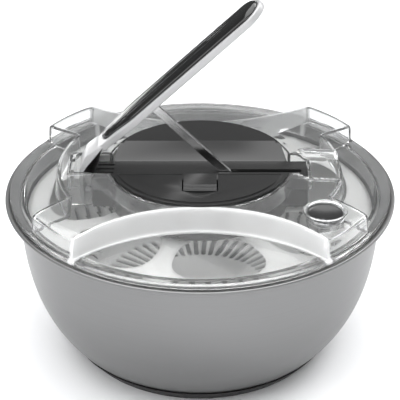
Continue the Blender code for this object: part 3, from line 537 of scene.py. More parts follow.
BRUSHED_STEEL = Finish("brushed_steel", (0.20, 0.20, 0.20), 0.36, 1.0,
                       Grain((9.0, 9.0, 1500.0), 5.0, 0.07, 0.07, 0.0), 9.0, 0.05, 0.06, anisotropic=0.45)
BRIGHT_STEEL = Finish("bright_steel", (0.60, 0.60, 0.60), 0.17, 1.0,
                      Grain((900.0, 60.0, 900.0), 3.0, 0.04, 0.05), 40.0)
SPRING_STEEL = Finish("spring_steel", (0.52, 0.52, 0.53), 0.28, 1.0, Grain((1500.0,) * 3, 2.0, 0.05, 0.06))
CLEAR_PLASTIC = Finish("clear_plastic", (0.985, 0.99, 0.99), 0.035, 0.0,
                       Grain((260.0,) * 3, 3.0, 0.004, 0.01), 24.0, 0.004, 0.015, transmission=0.97, ior=1.42)
LID_PLASTIC = ArchedClear("lid_plastic", (0.985, 0.99, 0.99), 0.035, 0.0,
                          Grain((260.0,) * 3, 3.0, 0.004, 0.01), 24.0, 0.004, 0.015,
                          transmission=0.96, ior=1.42)
FROSTED_PLASTIC = Finish("frosted_plastic", (0.80, 0.80, 0.79), 0.38, 0.0,
                         Grain((700.0,) * 3, 4.0, 0.02, 0.06, 0.00002), 16.0, 0.03, 0.05,
                         transmission=0.18, ior=1.45)
BLACK_GLOSS = Finish("black_gloss", (0.006, 0.006, 0.0063), 0.20, 0.0,
                     Grain((520.0,) * 3, 5.0, 0.10, 0.03, 0.000004), 26.0, 0.06, 0.05,
                     coat=0.15, coat_roughness=0.08)
BLACK_GRIP = Finish("black_grip", (0.012, 0.012, 0.012), 0.09, 0.0,
                    Grain((700.0,) * 3, 4.0, 0.08, 0.04, 0.000006), 22.0, 0.03, 0.03,
                    coat=0.3, coat_roughness=0.05)
BLACK_RUBBER = Finish("black_rubber", (0.016, 0.016, 0.016), 0.66, 0.0,
                      Grain((1100.0,) * 3, 5.0, 0.12, 0.08, 0.00004), 30.0)
SATIN_GREY = Finish("satin_grey", (0.46, 0.46, 0.465), 0.40, 0.20,
                    Grain((900.0,) * 3, 4.0, 0.02, 0.05, 0.000008), 18.0, 0.02, 0.04,
                    coat=0.25, coat_roughness=0.12)
NYLON = Finish("nylon", (0.74, 0.73, 0.69), 0.45, 0.0, Grain((900.0,) * 3, 4.0, 0.04, 0.08, 0.00002),
               30.0, subsurface=0.1)


def dress(piece: bpy.types.Object, finish: Finish, body: str, slot: str, *nodes: str) -> bpy.types.Object:
    """Give a piece its finish and its body, and hide the nodes that it stands for.

    Args:
        piece: the finished piece.
        finish: its surface.
        body: frame body that it moves with.
        slot: material slot of the record; not used.
        nodes: frame nodes that it replaces.

    Returns:
        The same piece.
    """
    piece.data.materials.clear()
    piece.data.materials.append(finish.material())
    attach(piece, body)
    if nodes:
        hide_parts(*nodes)
    LOG.info("%s: %d faces", piece.name, len(piece.data.polygons))
    return piece


# ---- bowl --------------------------------------------------------------------------------
@dataclass
class Bowl:
    """Spun steel bowl with a flat lip, a rolled bead and a soft pad under its foot."""

    wall: float = 1.0 * MILLIMETRE
    lip_width: float = 9.4 * MILLIMETRE
    lip_thickness: float = 1.2 * MILLIMETRE
    bead_height: float = 2.6 * MILLIMETRE
    squareness: float = 2.56
    reach: float = 1.179
    pad_radius: float = 85.0 * MILLIMETRE
    pad_height: float = 8.5 * MILLIMETRE
    gap: float = 0.35 * MILLIMETRE
    turn_steps: int = 192
    wall_steps: int = 44

    def __post_init__(self) -> None:
        """Read the overall sizes from the frame."""
        low, high = corners_of("bowl")
        self.rim_radius = float(high[0])
        self.rim = float(high[2])
        self.floor = float(low[2])
        self.mouth = self.rim_radius - self.lip_width

    def radius(self, height: Array | float) -> Array:
        """Outer radius of the body at a height.

        The profile is a superellipse: mouth * (1 - depth^n)^(1/n), where depth is the drop below the
        rim over a little more than the rim's own height.

        Args:
            height: heights above the base.

        Returns:
            Radii of the same shape.
        """
        depth = np.clip((self.rim - np.asarray(height, float)) / (self.reach * self.rim), 0.0, 1.0)
        return self.mouth * (1.0 - depth ** self.squareness) ** (1.0 / self.squareness)

    def wall_line(self, low: float, high: float) -> Array:
        """Outer wall from low to high, with heights that bunch towards the tight lower bend.

        Args:
            low: lowest height.
            high: highest height.

        Returns:
            (r, z) points of shape (wall_steps, 2).
        """
        height = low + (high - low) * np.linspace(0.0, 1.0, self.wall_steps) ** 1.5
        return np.stack([self.radius(height), height], -1)

    def build_shell(self) -> bpy.types.Object:
        """Outer wall, lip with a dished land and a rolled bead, then the inner wall back to the floor."""
        rim, edge = self.rim, self.rim_radius
        outer = self.wall_line(self.pad_height + self.wall, rim - 4.0 * MILLIMETRE)
        foot = np.array([(self.pad_radius - 0.007, self.floor),
                         (self.pad_radius - 0.0005, self.floor + 0.0004)])
        under = rim - self.lip_thickness
        lip = rounded(np.array([
            (self.mouth + 0.0004, under), (edge - 0.0032, under), (edge - 0.0024, rim - self.bead_height),
            (edge, rim - self.bead_height), (edge, rim), (edge - 0.0022, rim),
            (edge - 0.0030, rim - 0.0005), (self.mouth + 0.0010, rim - 0.0004),
            (self.mouth - self.wall, rim - 0.0006)]), 0.0011, 7)
        inner = outer[::-1] - (self.wall, 0.0)
        floor_in = np.array([(self.pad_radius - 0.0014, self.floor + 0.0015),
                             (self.pad_radius - 0.0085, self.floor + self.wall),
                             (0.0, self.floor + self.wall), (0.0, self.floor)])
        profile = np.concatenate([foot, outer, lip, inner, floor_in])
        return spun("bowl_shell", profile, self.turn_steps, sharp=40.0)

    def build_pad(self) -> bpy.types.Object:
        """Pad with a wrapped edge and two shallow grip rings in its underside."""
        top = float(self.radius(self.pad_height)) + self.gap
        seat = self.floor - self.gap
        ring = self.pad_radius - 8.0 * MILLIMETRE
        groove = 0.6 * MILLIMETRE
        under = [(0.0, 0.0)]
        for middle in (0.55 * ring, ring):
            under += [(middle - 2 * groove, 0.0), (middle - groove, groove), (middle + groove, groove),
                      (middle + 2 * groove, 0.0)]
        edge = rounded(np.array([(self.pad_radius, 0.0), (top + 0.0012, self.pad_height),
                                 (top + 0.0003, self.pad_height + 0.0003),
                                 (top - 0.0045, 0.5 * (self.floor + self.pad_height) - 0.0012),
                                 (self.pad_radius - 0.0066, seat)]), 0.0006, 5)
        profile = np.concatenate([np.array(under), edge, np.array([(0.0, seat)])])
        return spun("foot_pad", profile, self.turn_steps, sharp=50.0)

    def make(self) -> None:
        """Build and dress both pieces."""
        dress(self.build_shell(), BRUSHED_STEEL, "bowl", "bowl_steel", "bowl")
        dress(self.build_pad(), BLACK_RUBBER, "bowl", "base_rubber", "base_pad")


# ---- basket ------------------------------------------------------------------------------
@dataclass
class Basket:
    """Frosted basket with upright drain slots in its wall and radial ones round its floor."""

    bowl: Bowl
    clearance: float = 9.0 * MILLIMETRE
    wall: float = 1.7 * MILLIMETRE
    columns: int = 180
    wall_period: int = 3
    floor_period: int = 3
    slot_half: float = 1.9 * MILLIMETRE
    slot_low: float = 18.0 * MILLIMETRE
    slot_high: float = 64.0 * MILLIMETRE
    floor_slot_in: float = 50.0 * MILLIMETRE
    floor_slot_out: float = 78.5 * MILLIMETRE

    def __post_init__(self) -> None:
        """Read the overall sizes from the frame."""
        low, high = corners_of("basket")
        self.floor, self.top = float(low[2]), float(high[2])
        self.lip_radius = float(high[0])
        self.bore = float(corners_of("basket_pivot")[1][0]) - 1.6 * MILLIMETRE

    def profile(self) -> tuple[Array, Array, Array]:
        """Outer line of the basket from its pivot hole to its lip.

        Returns:
            (r, z) rows, a flag for each row that lies in a wall slot, and one for floor slots.
        """
        round_end = self.slot_half * np.array([0.0, 0.3, 0.65, 1.0])
        slot_r = np.concatenate([self.floor_slot_in + round_end, np.linspace(57, 72, 4) * MILLIMETRE,
                                 self.floor_slot_out - round_end[::-1]])
        floor_r = np.concatenate([[self.bore, 0.02, 0.035, 0.047], slot_r])
        floor_line = np.stack([floor_r, np.full_like(floor_r, self.floor)], -1)
        start = 15.5 * MILLIMETRE
        corner_r = float(self.bowl.radius(start)) - self.clearance
        s = np.linspace(0.12, 0.95, 7)[:, None]
        bend = ((1 - s) ** 2 * np.array([self.floor_slot_out, self.floor])
                + 2 * s * (1 - s) * np.array([corner_r - 0.003, self.floor])
                + s ** 2 * np.array([corner_r, start]))
        slot_z = np.concatenate([self.slot_low + round_end, np.linspace(23, 58, 9) * MILLIMETRE,
                                 self.slot_high - round_end[::-1]])
        above = np.linspace(68 * MILLIMETRE, self.top - 5 * MILLIMETRE, 6)
        height = np.concatenate([slot_z, above])
        wall_line = np.stack([self.bowl.radius(height) - self.clearance, height], -1)
        lip = np.array([(wall_line[-1, 0] + 0.0006, self.top - 0.0022),
                        (wall_line[-1, 0] + 0.0018, self.top - 0.0017),
                        (self.lip_radius - 0.0008, self.top - 0.0017)])
        rows = np.concatenate([floor_line, bend, wall_line, lip])
        in_floor = np.zeros(len(rows), bool)
        in_floor[4:4 + len(slot_r)] = True
        in_wall = np.zeros(len(rows), bool)
        first = len(floor_line) + len(bend)
        in_wall[first:first + len(slot_z)] = True
        return rows, in_wall, in_floor

    def slot_shape(self, along: Array, low: float, high: float) -> Array:
        """Half-width of a slot with half-round ends: sqrt(h^2 - (h - d)^2) at distance d from an end."""
        from_end = np.clip(np.minimum(along - low, high - along), 0.0, self.slot_half)
        return np.sqrt(np.maximum(self.slot_half ** 2 - (self.slot_half - from_end) ** 2, 1e-10))

    def build(self) -> bpy.types.Object:
        """One sheet of even columns, pinched onto the slots' edges, with the slots' cells left out.

        A column k lies at angle k * 360 / columns. In a slot's rows the columns on its two sides move
        to half-width / radius from the slot's middle. The sheet is given its wall afterwards.
        """
        rows, in_wall, in_floor = self.profile()
        step = 2 * pi / self.columns
        k = np.arange(self.columns)
        angle = np.repeat((k * step)[None, :], len(rows), 0)
        radius = rows[:, 0][:, None]
        wall_half = self.slot_shape(rows[:, 1], self.slot_low, self.slot_high)[:, None] / radius
        floor_half = self.slot_shape(rows[:, 0], self.floor_slot_in, self.floor_slot_out)[:, None] / radius
        phase = k % self.wall_period
        middle = (k - phase + 1.5) * step
        side = np.where(phase == 1, -1.0, np.where(phase == 2, 1.0, 0.0))
        moved = np.where(side != 0.0, middle + side * wall_half, angle)
        angle = np.where(in_wall[:, None], moved, angle)
        phase = k % self.floor_period
        middle = (k - phase + 1.5) * step
        side = np.where(phase == 1, -1.0, np.where(phase == 2, 1.0, 0.0))
        moved = np.where(side != 0.0, middle + side * floor_half, angle)
        angle = np.where(in_floor[:, None], moved, angle)
        points = np.stack([radius * np.cos(angle), radius * np.sin(angle),
                           np.repeat(rows[:, 1][:, None], self.columns, 1)], -1)
        cells = grid_quads(len(rows), self.columns, False, True).reshape(len(rows) - 1, self.columns, 4)
        wall_gap = (in_wall[:-1] & in_wall[1:])[:, None] & (k % self.wall_period == 1)[None, :]
        floor_gap = (in_floor[:-1] & in_floor[1:])[:, None] & (k % self.floor_period == 1)[None, :]
        kept = cells[~(wall_gap | floor_gap)][:, ::-1]
        sheet = lay("basket_shell", points, kept, 40.0, False)
        thick = sheet.modifiers.new("wall", "SOLIDIFY")
        thick.thickness = self.wall
        thick.offset = -1.0
        return sheet

    def make(self) -> None:
        """Build and dress the basket."""
        dress(self.build(), FROSTED_PLASTIC, "basket", "basket_frosted", "basket")


@dataclass
class InnerCover:
    """Spider over the basket: a ring, seven wide openings between bowed arms, and a sunken hub."""

    holes: int = 7
    hole_inner: float = 50.5 * MILLIMETRE
    hole_outer: float = 104.1 * MILLIMETRE
    hole_half_angle: float = radians(21.0)
    first_angle: float = radians(-81.6)
    squareness: float = 2.6
    wall: float = 1.7 * MILLIMETRE
    rolled: float = 1.7 * MILLIMETRE
    roll_reach: float = 4.5 * MILLIMETRE
    dish: float = 2.4 * MILLIMETRE
    side_steps: int = 18
    hub_radius: float = 13.0 * MILLIMETRE
    hub_wall: float = 7.6 * MILLIMETRE

    def __post_init__(self) -> None:
        """Read the overall sizes from the frame."""
        low, high = corners_of("inner_cover")
        self.top, self.bottom = float(high[2]), float(low[2])
        self.edge = float(high[0])

    def sector(self) -> tuple[Array, Array]:
        """Angle and radius grids of one sector round its opening.

        The outer border walks round a box of angle and radius. The inner one is the superellipse
        |a|^n + |b|^n = 1 in the same direction from the opening's middle, and the rows in between
        divide the straight line that joins the two.

        Returns:
            Two arrays of shape (rows, points round the box).
        """
        even = np.linspace(-1.0, 1.0, self.side_steps + 1)[:-1]
        one = np.ones_like(even)
        across = np.concatenate([even, one, -even, -one])
        along = np.concatenate([-one, even, one, -even])
        middle = 0.5 * (self.hole_inner + self.hole_outer)
        half = 0.5 * (self.hole_outer - self.hole_inner)
        inner = 0.80 * self.hole_inner
        angle = across * pi / self.holes
        radial = np.where(along > 0, along * (self.edge - middle), along * (middle - inner))
        size = (np.abs(angle / self.hole_half_angle) ** self.squareness
                + np.abs(radial / half) ** self.squareness) ** (1.0 / self.squareness)
        start = (1.0 / size)[None, :]
        rows = np.array([0.0, 0.03, 0.08, 0.15, 0.24, 0.36, 0.52, 0.74, 1.0])[:, None]
        share = start + (1.0 - start) * rows
        return angle[None, :] * share, middle + radial[None, :] * share

    def height(self, radius: Array, from_hole: Array) -> Array:
        """Top surface: level, rolled down round each opening, and dished towards the hub.

        The roll is rolled * (1 - d / reach)^2 at distance d from an opening. The dish follows a
        smoothstep over the last 10 mm inside the openings.

        Args:
            radius: distance from the axis.
            from_hole: distance from the nearest opening.

        Returns:
            Heights of the same shape.
        """
        roll = self.rolled * np.clip(1.0 - from_hole / self.roll_reach, 0.0, 1.0) ** 2
        sink = self.dish * smoothstep((self.hole_inner + 0.001 - radius) / 0.011)
        rim_roll = 0.9 * MILLIMETRE * np.clip(1.0 - (self.edge - radius) / 0.002, 0.0, 1.0) ** 2
        return self.top - roll - sink - rim_roll

    def build(self) -> bpy.types.Object:
        """Seven sectors, the dished middle that shares their inner border, and the hub's socket."""
        angle, radius = self.sector()
        rows, around = angle.shape
        hole_x = radius[:1] * np.cos(angle[:1])
        hole_y = radius[:1] * np.sin(angle[:1])
        from_hole = np.hypot(radius * np.cos(angle) - hole_x, radius * np.sin(angle) - hole_y)
        level = self.height(radius, from_hole)
        centres = self.first_angle + 2 * pi * np.arange(self.holes) / self.holes
        turned = angle[None] + centres[:, None, None]
        points = np.stack([radius[None] * np.cos(turned), radius[None] * np.sin(turned),
                           np.broadcast_to(level, turned.shape)], -1).reshape(-1, 3)
        cells = grid_quads(rows, around, False, True)
        offsets = (np.arange(self.holes) * rows * around)[:, None, None]
        faces = (cells[None] + offsets).reshape(-1, 4)
        border = np.linspace(-1.0, 1.0, self.side_steps + 1)[:-1] * pi / self.holes
        ring = (centres[:, None] + border[None, :]).reshape(-1)
        inner = np.linspace(0.80 * self.hole_inner, self.hub_radius - self.hub_wall, 9)
        disc_z = self.height(inner, np.full_like(inner, 1.0))
        disc = np.stack([inner[:, None] * np.cos(ring), inner[:, None] * np.sin(ring),
                         np.repeat(disc_z[:, None], len(ring), 1)], -1).reshape(-1, 3)
        disc_faces = grid_quads(len(inner), len(ring), False, True)[:, ::-1] + len(points)
        sheet = lay("spider_cover", np.concatenate([points, disc]),
                    np.concatenate([faces[:, ::-1], disc_faces[:, ::-1]]), 45.0, True, 5e-6)
        if sheet.data.polygons[0].normal.z < 0:
            sheet.data.flip_normals()
        thick = sheet.modifiers.new("wall", "SOLIDIFY")
        thick.thickness = self.wall
        thick.offset = -1.0
        return sheet

    def build_hub(self) -> bpy.types.Object:
        """Turned collar under the dish that takes the drive end."""
        top = self.top - self.dish - self.wall + 0.1 * MILLIMETRE
        bore = self.hub_radius - self.hub_wall
        profile = rounded(np.array([(bore, self.bottom), (self.hub_radius, self.bottom),
                                    (self.hub_radius, top), (bore, top)]), 0.0006, 4)
        return spun("cover_hub", profile, 72)

    def make(self) -> None:
        """Build and dress the cover and its hub."""
        dress(self.build(), FROSTED_PLASTIC, "basket", "basket_frosted", "inner_cover")
        dress(self.build_hub(), FROSTED_PLASTIC, "basket", "basket_frosted")


# ---- clear lid ---------------------------------------------------------------------------
@dataclass
class Lid:
    """Clear lid: a low shelf round a raised cross, scooped at the front, the back and both sides."""

    bowl: Bowl
    wall: float = 2.0 * MILLIMETRE
    edge_inset: float = 3.4 * MILLIMETRE
    shelf_rise: float = 3.0 * MILLIMETRE
    platform_rise: float = 20.0 * MILLIMETRE
    platform_fall: float = 5.0 * MILLIMETRE
    lobe_inset: float = 6.5 * MILLIMETRE
    scoop_radius: float = 109.5 * MILLIMETRE
    scoop_land: float = 1.6 * MILLIMETRE
    side_scoop: float = 96.5 * MILLIMETRE
    side_half_angle: float = radians(27.0)
    side_ramp: float = radians(4.0)
    skirt: float = 8.5 * MILLIMETRE
    well_depth: float = 14.0 * MILLIMETRE
    gap: float = 0.4 * MILLIMETRE
    seat_gap: float = 0.35 * MILLIMETRE
    dip_depth: float = 4.5 * MILLIMETRE
    turn_steps: int = 288
    stations: int = 9

    def __post_init__(self) -> None:
        """Read the unit's outline and the brake's place from the frame."""
        low, high = corners_of("housing_top")
        self.unit_radius = float(high[1])
        self.ear_reach = float(high[0]) + self.seat_gap
        cradle_low, cradle_high = corners_of("hinge_cradle")
        self.pocket_reach = -float(cradle_low[0]) + self.seat_gap
        self.pocket_half = float(cradle_high[1]) + self.seat_gap
        self.ear_half = 13.5 * MILLIMETRE + self.seat_gap
        brake_low, brake_high = corners_of("brake_collar")
        middle = 0.5 * (brake_low + brake_high)
        self.brake = (float(middle[0]), float(middle[1]))
        self.collar_radius = 0.5 * float(brake_high[0] - brake_low[0])

    def platform(self, radius: Array) -> Array:
        """Height of the raised cross, which falls with the square of the way to the rim."""
        t = np.clip((radius - self.unit_radius) / (self.bowl.rim_radius - self.unit_radius), 0.0, 1.0)
        return self.bowl.rim + self.platform_rise - self.platform_fall * t * t

    def thumb_dip(self, radius: Array, angle: Array) -> Array:
        """Hollow beyond the right ear, for the fingers that lift a folded lever.

        It is the product of smoothsteps that rise 6 mm inside the hollow's three borders.

        Args:
            radius: distance from the axis.
            angle: angle from +X.

        Returns:
            Depth below the platform.
        """
        x, y = radius * np.cos(angle), radius * np.sin(angle)
        ramp = 6.0 * MILLIMETRE
        inside = smoothstep((y + 0.0197) / (0.5 * ramp)) * smoothstep((0.020 - y) / ramp)
        return self.dip_depth * inside * smoothstep((x - 0.066) / ramp)

    def scoop_edge(self, angle: Array) -> Array:
        """Distance from the axis to the edge of the raised cross.

        The smallest of three limits: the lobes' circle, the circles of the front and back scoops,
        whose centres lie outside on the Y axis, and the side scoops' circle, which a smoothstep
        joins to the lobes.

        Args:
            angle: angles from +X.

        Returns:
            Radii of the same shape.
        """
        lobe = self.bowl.rim_radius - self.lobe_inset
        centre = self.unit_radius + self.scoop_land + self.scoop_radius
        along = centre * np.abs(np.sin(angle))
        inside = along ** 2 - (centre ** 2 - self.scoop_radius ** 2)
        front = np.where(inside > 0, along - np.sqrt(np.maximum(inside, 0.0)), lobe)
        off_axis = np.abs(np.arctan2(np.abs(np.sin(angle)), np.abs(np.cos(angle))))
        ramp = smoothstep((off_axis - self.side_half_angle) / self.side_ramp)
        side = self.side_scoop + (lobe - self.side_scoop) * ramp
        return np.minimum(np.minimum(lobe, front), side)

    def well_edge(self, angle: Array) -> Array:
        """Border of the opening for the gear unit: its circle, or the straight sides of its notches."""
        radius = self.unit_radius + self.gap
        right = np.cos(angle) > 0
        half = np.where(right, self.ear_half, self.pocket_half)
        reach = np.where(right, self.ear_reach, self.pocket_reach)
        notch = np.minimum(reach / np.maximum(np.abs(np.cos(angle)), 1e-6),
                           half / np.maximum(np.abs(np.sin(angle)), 1e-6))
        return np.maximum(radius, notch)

    def angles(self) -> Array:
        """Even angles, with those that a corner of a notch needs put in place of their neighbours.

        Returns:
            Sorted angles.
        """
        radius = self.unit_radius + self.gap
        quarter = [atan2(self.ear_half, self.ear_reach), float(np.arcsin(self.ear_half / radius)),
                   pi - atan2(self.pocket_half, self.pocket_reach),
                   pi - float(np.arcsin(self.pocket_half / radius))]
        quarter += [self.side_half_angle, self.side_half_angle + self.side_ramp,
                    pi - self.side_half_angle, pi - self.side_half_angle - self.side_ramp]
        exact = np.array(quarter + [-a for a in quarter])
        even = (np.arange(self.turn_steps) + 0.5) * 2 * pi / self.turn_steps - pi
        spread = np.abs(even[:, None] - exact[None, :]).min(1)
        extra = np.concatenate([exact + d * self.side_ramp for d in (-0.12, 0.12)])
        kept = even[spread > radians(0.8)]
        return np.sort(np.concatenate([kept, exact, extra]))

    def sections(self, angle: Array) -> Array:
        """Closed (r, z) sections, upper side first, one for each angle.

        Where the raised cross is narrow its hollow underside fades out, so that the two walls become
        one. All corners are rounded afterwards.

        Args:
            angle: angles of the sections.

        Returns:
            Array of shape (angles, points, 2).
        """
        rim = self.bowl.rim
        well, edge = self.well_edge(angle), self.scoop_edge(angle)
        shelf, outer = rim + self.shelf_rise, self.bowl.rim_radius - self.edge_inset
        seat, neck, foot = rim + self.seat_gap, self.bowl.mouth - 0.0018, rim - self.skirt
        top_in = self.platform(well) - self.thumb_dip(well, angle)
        well_foot = self.platform(well) - self.well_depth
        hollow = np.clip((edge - well - 2.2 * self.wall) / self.wall, 0.0, 1.0)
        wall = np.maximum(edge - 0.8 * self.wall, well + 0.0006)
        roof = np.maximum(wall - 0.001, well + 0.0004)
        inner_well = np.minimum(well + self.wall, roof - 0.0002)
        shelf_end = np.maximum(neck + 0.0015, edge + 0.0024)
        even = np.ones_like(angle)

        share = np.linspace(0.0, 1.0, self.stations)[:, None]
        path = well + share * (np.maximum(edge - 0.0015, well + 0.0006) - well)
        crest = self.platform(path) - self.thumb_dip(path, angle)
        under_path = inner_well + share[::-1] * (roof - inner_well)
        under_crest = well_foot - 0.0004 + hollow * (
            self.platform(under_path) - self.thumb_dip(under_path, angle) - self.wall - well_foot + 0.0004)

        draft = 0.8 * MILLIMETRE
        upper = [(well, well_foot), (well, top_in - 0.0006)]
        upper += list(zip(path[1:-1], crest[1:-1]))
        upper += [(path[-1], crest[-1]), (edge, crest[-1] - 0.0015), (edge + draft, shelf + 0.0012),
                  (edge + draft + 0.0014, shelf * even), (shelf_end + 0.0006, (shelf - 0.0002) * even),
                  ((outer - 0.0022) * even, (shelf - 0.0001) * even), (outer * even, (shelf - 0.0006) * even)]
        under = shelf - self.wall + 0.0006
        lower = [(outer * even, seat * even), (neck * even, seat * even),
                 ((neck - 0.0002) * even, foot * even),
                 ((neck - 0.0018) * even, foot * even), ((neck - 0.0018) * even, under * even),
                 (wall, under * even)]
        lower += list(zip(under_path, under_crest)) + [(inner_well, well_foot)]
        outline = np.stack([np.stack([r * even, z * even], -1) for r, z in upper + lower], 1)
        reach = np.full(outline.shape[1], 0.5 * MILLIMETRE)
        first_wall = 1 + self.stations
        reach[first_wall - 1:first_wall + 4] = (3.0 * MILLIMETRE, 3.0 * MILLIMETRE, 1.6 * MILLIMETRE,
                                                1.6 * MILLIMETRE, 0.8 * MILLIMETRE)
        return rounded(outline, reach, 4)

    def build(self) -> bpy.types.Object:
        """Join the sections round the axis and open the hole for the brake."""
        angle = self.angles()
        section = self.sections(angle)
        points = np.stack([section[..., 0] * np.cos(angle)[:, None],
                           section[..., 0] * np.sin(angle)[:, None], section[..., 1]], -1)
        faces = grid_quads(len(angle), section.shape[1], True, True)
        shell = lay("clear_lid", points, faces, 28.0, weld=2e-7)
        hole = prism("brake_hole", disc_outline(self.collar_radius - 0.0018, 48, *self.brake),
                     self.bowl.rim + 0.006, self.bowl.rim + 0.03)
        carve(shell, hole)
        shell.data.shade_smooth()
        shell.data.set_sharp_from_angle(angle=radians(28.0))
        return shell

    def make(self) -> None:
        """Build and dress the lid and the pocket of the lever's hinge."""
        dress(self.build(), LID_PLASTIC, "lid", "lid_clear", "lid_shell")
        dress(eased_copy("hinge_pocket", "hinge_cradle", 0.0004), CLEAR_PLASTIC, "lid", "lid_clear",
              "hinge_cradle")


# ---- gear unit ---------------------------------------------------------------------------
@dataclass
class GearUnit:
    """Black unit in the middle of the lid: a round shell with a trough for the lever, and its catch."""

    wall: float = 2.0 * MILLIMETRE
    ear_half: float = 13.5 * MILLIMETRE
    trough_front: float = -19.7 * MILLIMETRE
    trough_back: float = 13.6 * MILLIMETRE
    trough_top: float = 27.4 * MILLIMETRE
    trough_depth: float = 8.6 * MILLIMETRE
    slot_left: float = 12.0 * MILLIMETRE
    slot_right: float = 69.0 * MILLIMETRE
    slot_half: float = 2.2 * MILLIMETRE
    ring_width: float = 2.6 * MILLIMETRE
    ring_drop: float = 0.9 * MILLIMETRE
    bead: float = 0.8 * MILLIMETRE
    panel_drop: float = 0.5 * MILLIMETRE
    column_radius: float = 3.8 * MILLIMETRE
    column_circle: float = 50.0 * MILLIMETRE
    column_angles: tuple[float, ...] = (60.0, 120.0, 240.0, 300.0)
    rib_count: int = 4
    steps: int = 192

    def __post_init__(self) -> None:
        """Read the shells' levels and reach from the frame."""
        low, high = corners_of("housing_top")
        self.radius, self.reach = float(high[1]), float(high[0])
        self.low, self.high = float(low[2]), float(high[2])
        self.split = float(corners_of("housing_base")[1][2]) + 0.35 * MILLIMETRE
        self.base_top = float(corners_of("housing_base")[0][2]) + 1.8 * MILLIMETRE
        self.floor = self.high - self.trough_depth
        self.catch_low, self.catch_high = corners_of("cover_catch")

    def outline(self, radius: float, reach: float, half: float) -> Array:
        """Circle with a square ear on the +X and on the -X side.

        Args:
            radius: the circle's radius.
            reach: how far the ears reach along X.
            half: half of their width.

        Returns:
            Closed outline.
        """
        corner = float(np.arcsin(half / radius))
        turn = np.linspace(corner, pi - corner, self.steps // 2)
        top = np.stack([radius * np.cos(turn), radius * np.sin(turn)], -1)
        left = np.array([(-reach, half), (-reach, -half)])
        return np.concatenate([top, left, -top, -left])

    def trough(self, grow: float) -> Array:
        """Section of the trough, in (y, z): a square front, a level floor and a hollow, rising back.

        The back rises as the power 1.25 of the way from the floor's end to the top's edge.

        Args:
            grow: how much it is widened on every side.

        Returns:
            Closed outline.
        """
        t = np.linspace(0.0, 1.0, 14)[:-1]
        run, rise = self.trough_top - self.trough_back, self.trough_depth + grow
        back = np.stack([self.trough_back + grow + run * t, self.high + rise * (t ** 1.25 - 1.0)], -1)
        over = self.high + 0.01
        front = self.trough_front - grow
        return np.concatenate([[(front, self.floor - grow)], back,
                               [(self.trough_top + grow, self.high), (self.trough_top + grow, over),
                                (front, over)]])

    def build_top(self) -> bpy.types.Object:
        """Upper shell: eared disc, less its trough, its cavity, the link's slot and the catch's window."""
        plan = self.outline(self.radius, self.reach, self.ear_half)
        shell = prism("unit_top_shell", plan, self.low, self.high)
        ring = spun("ring_step", np.array([(self.radius - self.ring_width, self.high - self.ring_drop),
                                           (self.radius + 0.02, self.high - self.ring_drop),
                                           (self.radius + 0.02, self.high + 0.01),
                                           (self.radius - self.ring_width, self.high + 0.01)]), self.steps)
        carve(shell, ring)
        long = self.reach + 0.02
        carve(shell, prism("trough_tool", self.trough(0.0), -long, long, Plane.YZ))
        inside = self.outline(self.radius - self.wall, self.reach - self.wall, self.ear_half - self.wall)
        cavity = prism("cavity_tool", inside, self.low - 0.003, self.high - self.wall)
        carve(cavity, prism("trough_guide", self.trough(self.wall), -long, long, Plane.YZ))
        carve(shell, cavity)
        for degrees_round in self.column_angles:
            x = self.column_circle * cos(radians(degrees_round))
            y = self.column_circle * sin(radians(degrees_round))
            carve(shell, prism("column", disc_outline(self.column_radius, 32, x, y), self.base_top + 0.00035,
                               self.high - self.wall + 0.0008), Cut.JOIN)
            carve(shell, prism("column_bore", disc_outline(0.00185, 20, x, y), self.base_top - 0.002,
                               self.high - self.wall - 0.003))
        carve(shell, prism("slot_tool", slot_outline(self.slot_left, self.slot_right, 0.0, self.slot_half),
                           self.floor - 0.006, self.floor + 0.004))
        low, high = self.catch_low, self.catch_high
        window = box_outline(low[0] - 0.0008, high[0] + 0.0008, low[1] - 0.0006, self.trough_front + 0.001)
        carve(shell, prism("window_tool", window, high[2] - 0.0040, self.high + 0.003))
        panel = prism("panel_tool", self.panel_outline(), self.high - self.panel_drop, self.high + 0.004)
        carve(shell, panel)
        hollow = spun("thumb_hollow", self.thumb_profile(), 64, 0.5 * (low[0] + high[0]), low[1] + 0.004)
        carve(shell, hollow)
        for i in range(self.rib_count):
            middle = (i - 0.5 * (self.rib_count - 1)) * 5.6 * MILLIMETRE
            groove = slot_outline(-self.reach + 0.002, -self.radius + 0.003, middle, 1.1 * MILLIMETRE)
            carve(shell, prism("louvre", groove, self.floor - 0.0011, self.floor + 0.002))
        ease_edges(shell, 0.00030, 2)
        return shell

    def panel_outline(self) -> Array:
        """Front panel inside the ring's bead and the trough's: a circle's part below a level chord."""
        radius, chord = self.radius - self.ring_width - self.bead, self.trough_front - self.bead
        turn = pi + np.linspace(float(np.arcsin(-chord / radius)), pi - float(np.arcsin(-chord / radius)), 72)
        return np.stack([radius * np.cos(turn), radius * np.sin(turn)], -1)

    def thumb_profile(self) -> Array:
        """Section of the shallow thumb hollow in front of the catch: a flat spherical cap."""
        depth, radius = 1.6 * MILLIMETRE, 12.0 * MILLIMETRE
        t = np.linspace(0.0, 1.0, 10)
        bottom = np.stack([radius * t, self.high - self.panel_drop - depth * (1 - t * t)], -1)
        return np.concatenate([bottom, [(radius, self.high + 0.004), (0.0, self.high + 0.004)]])

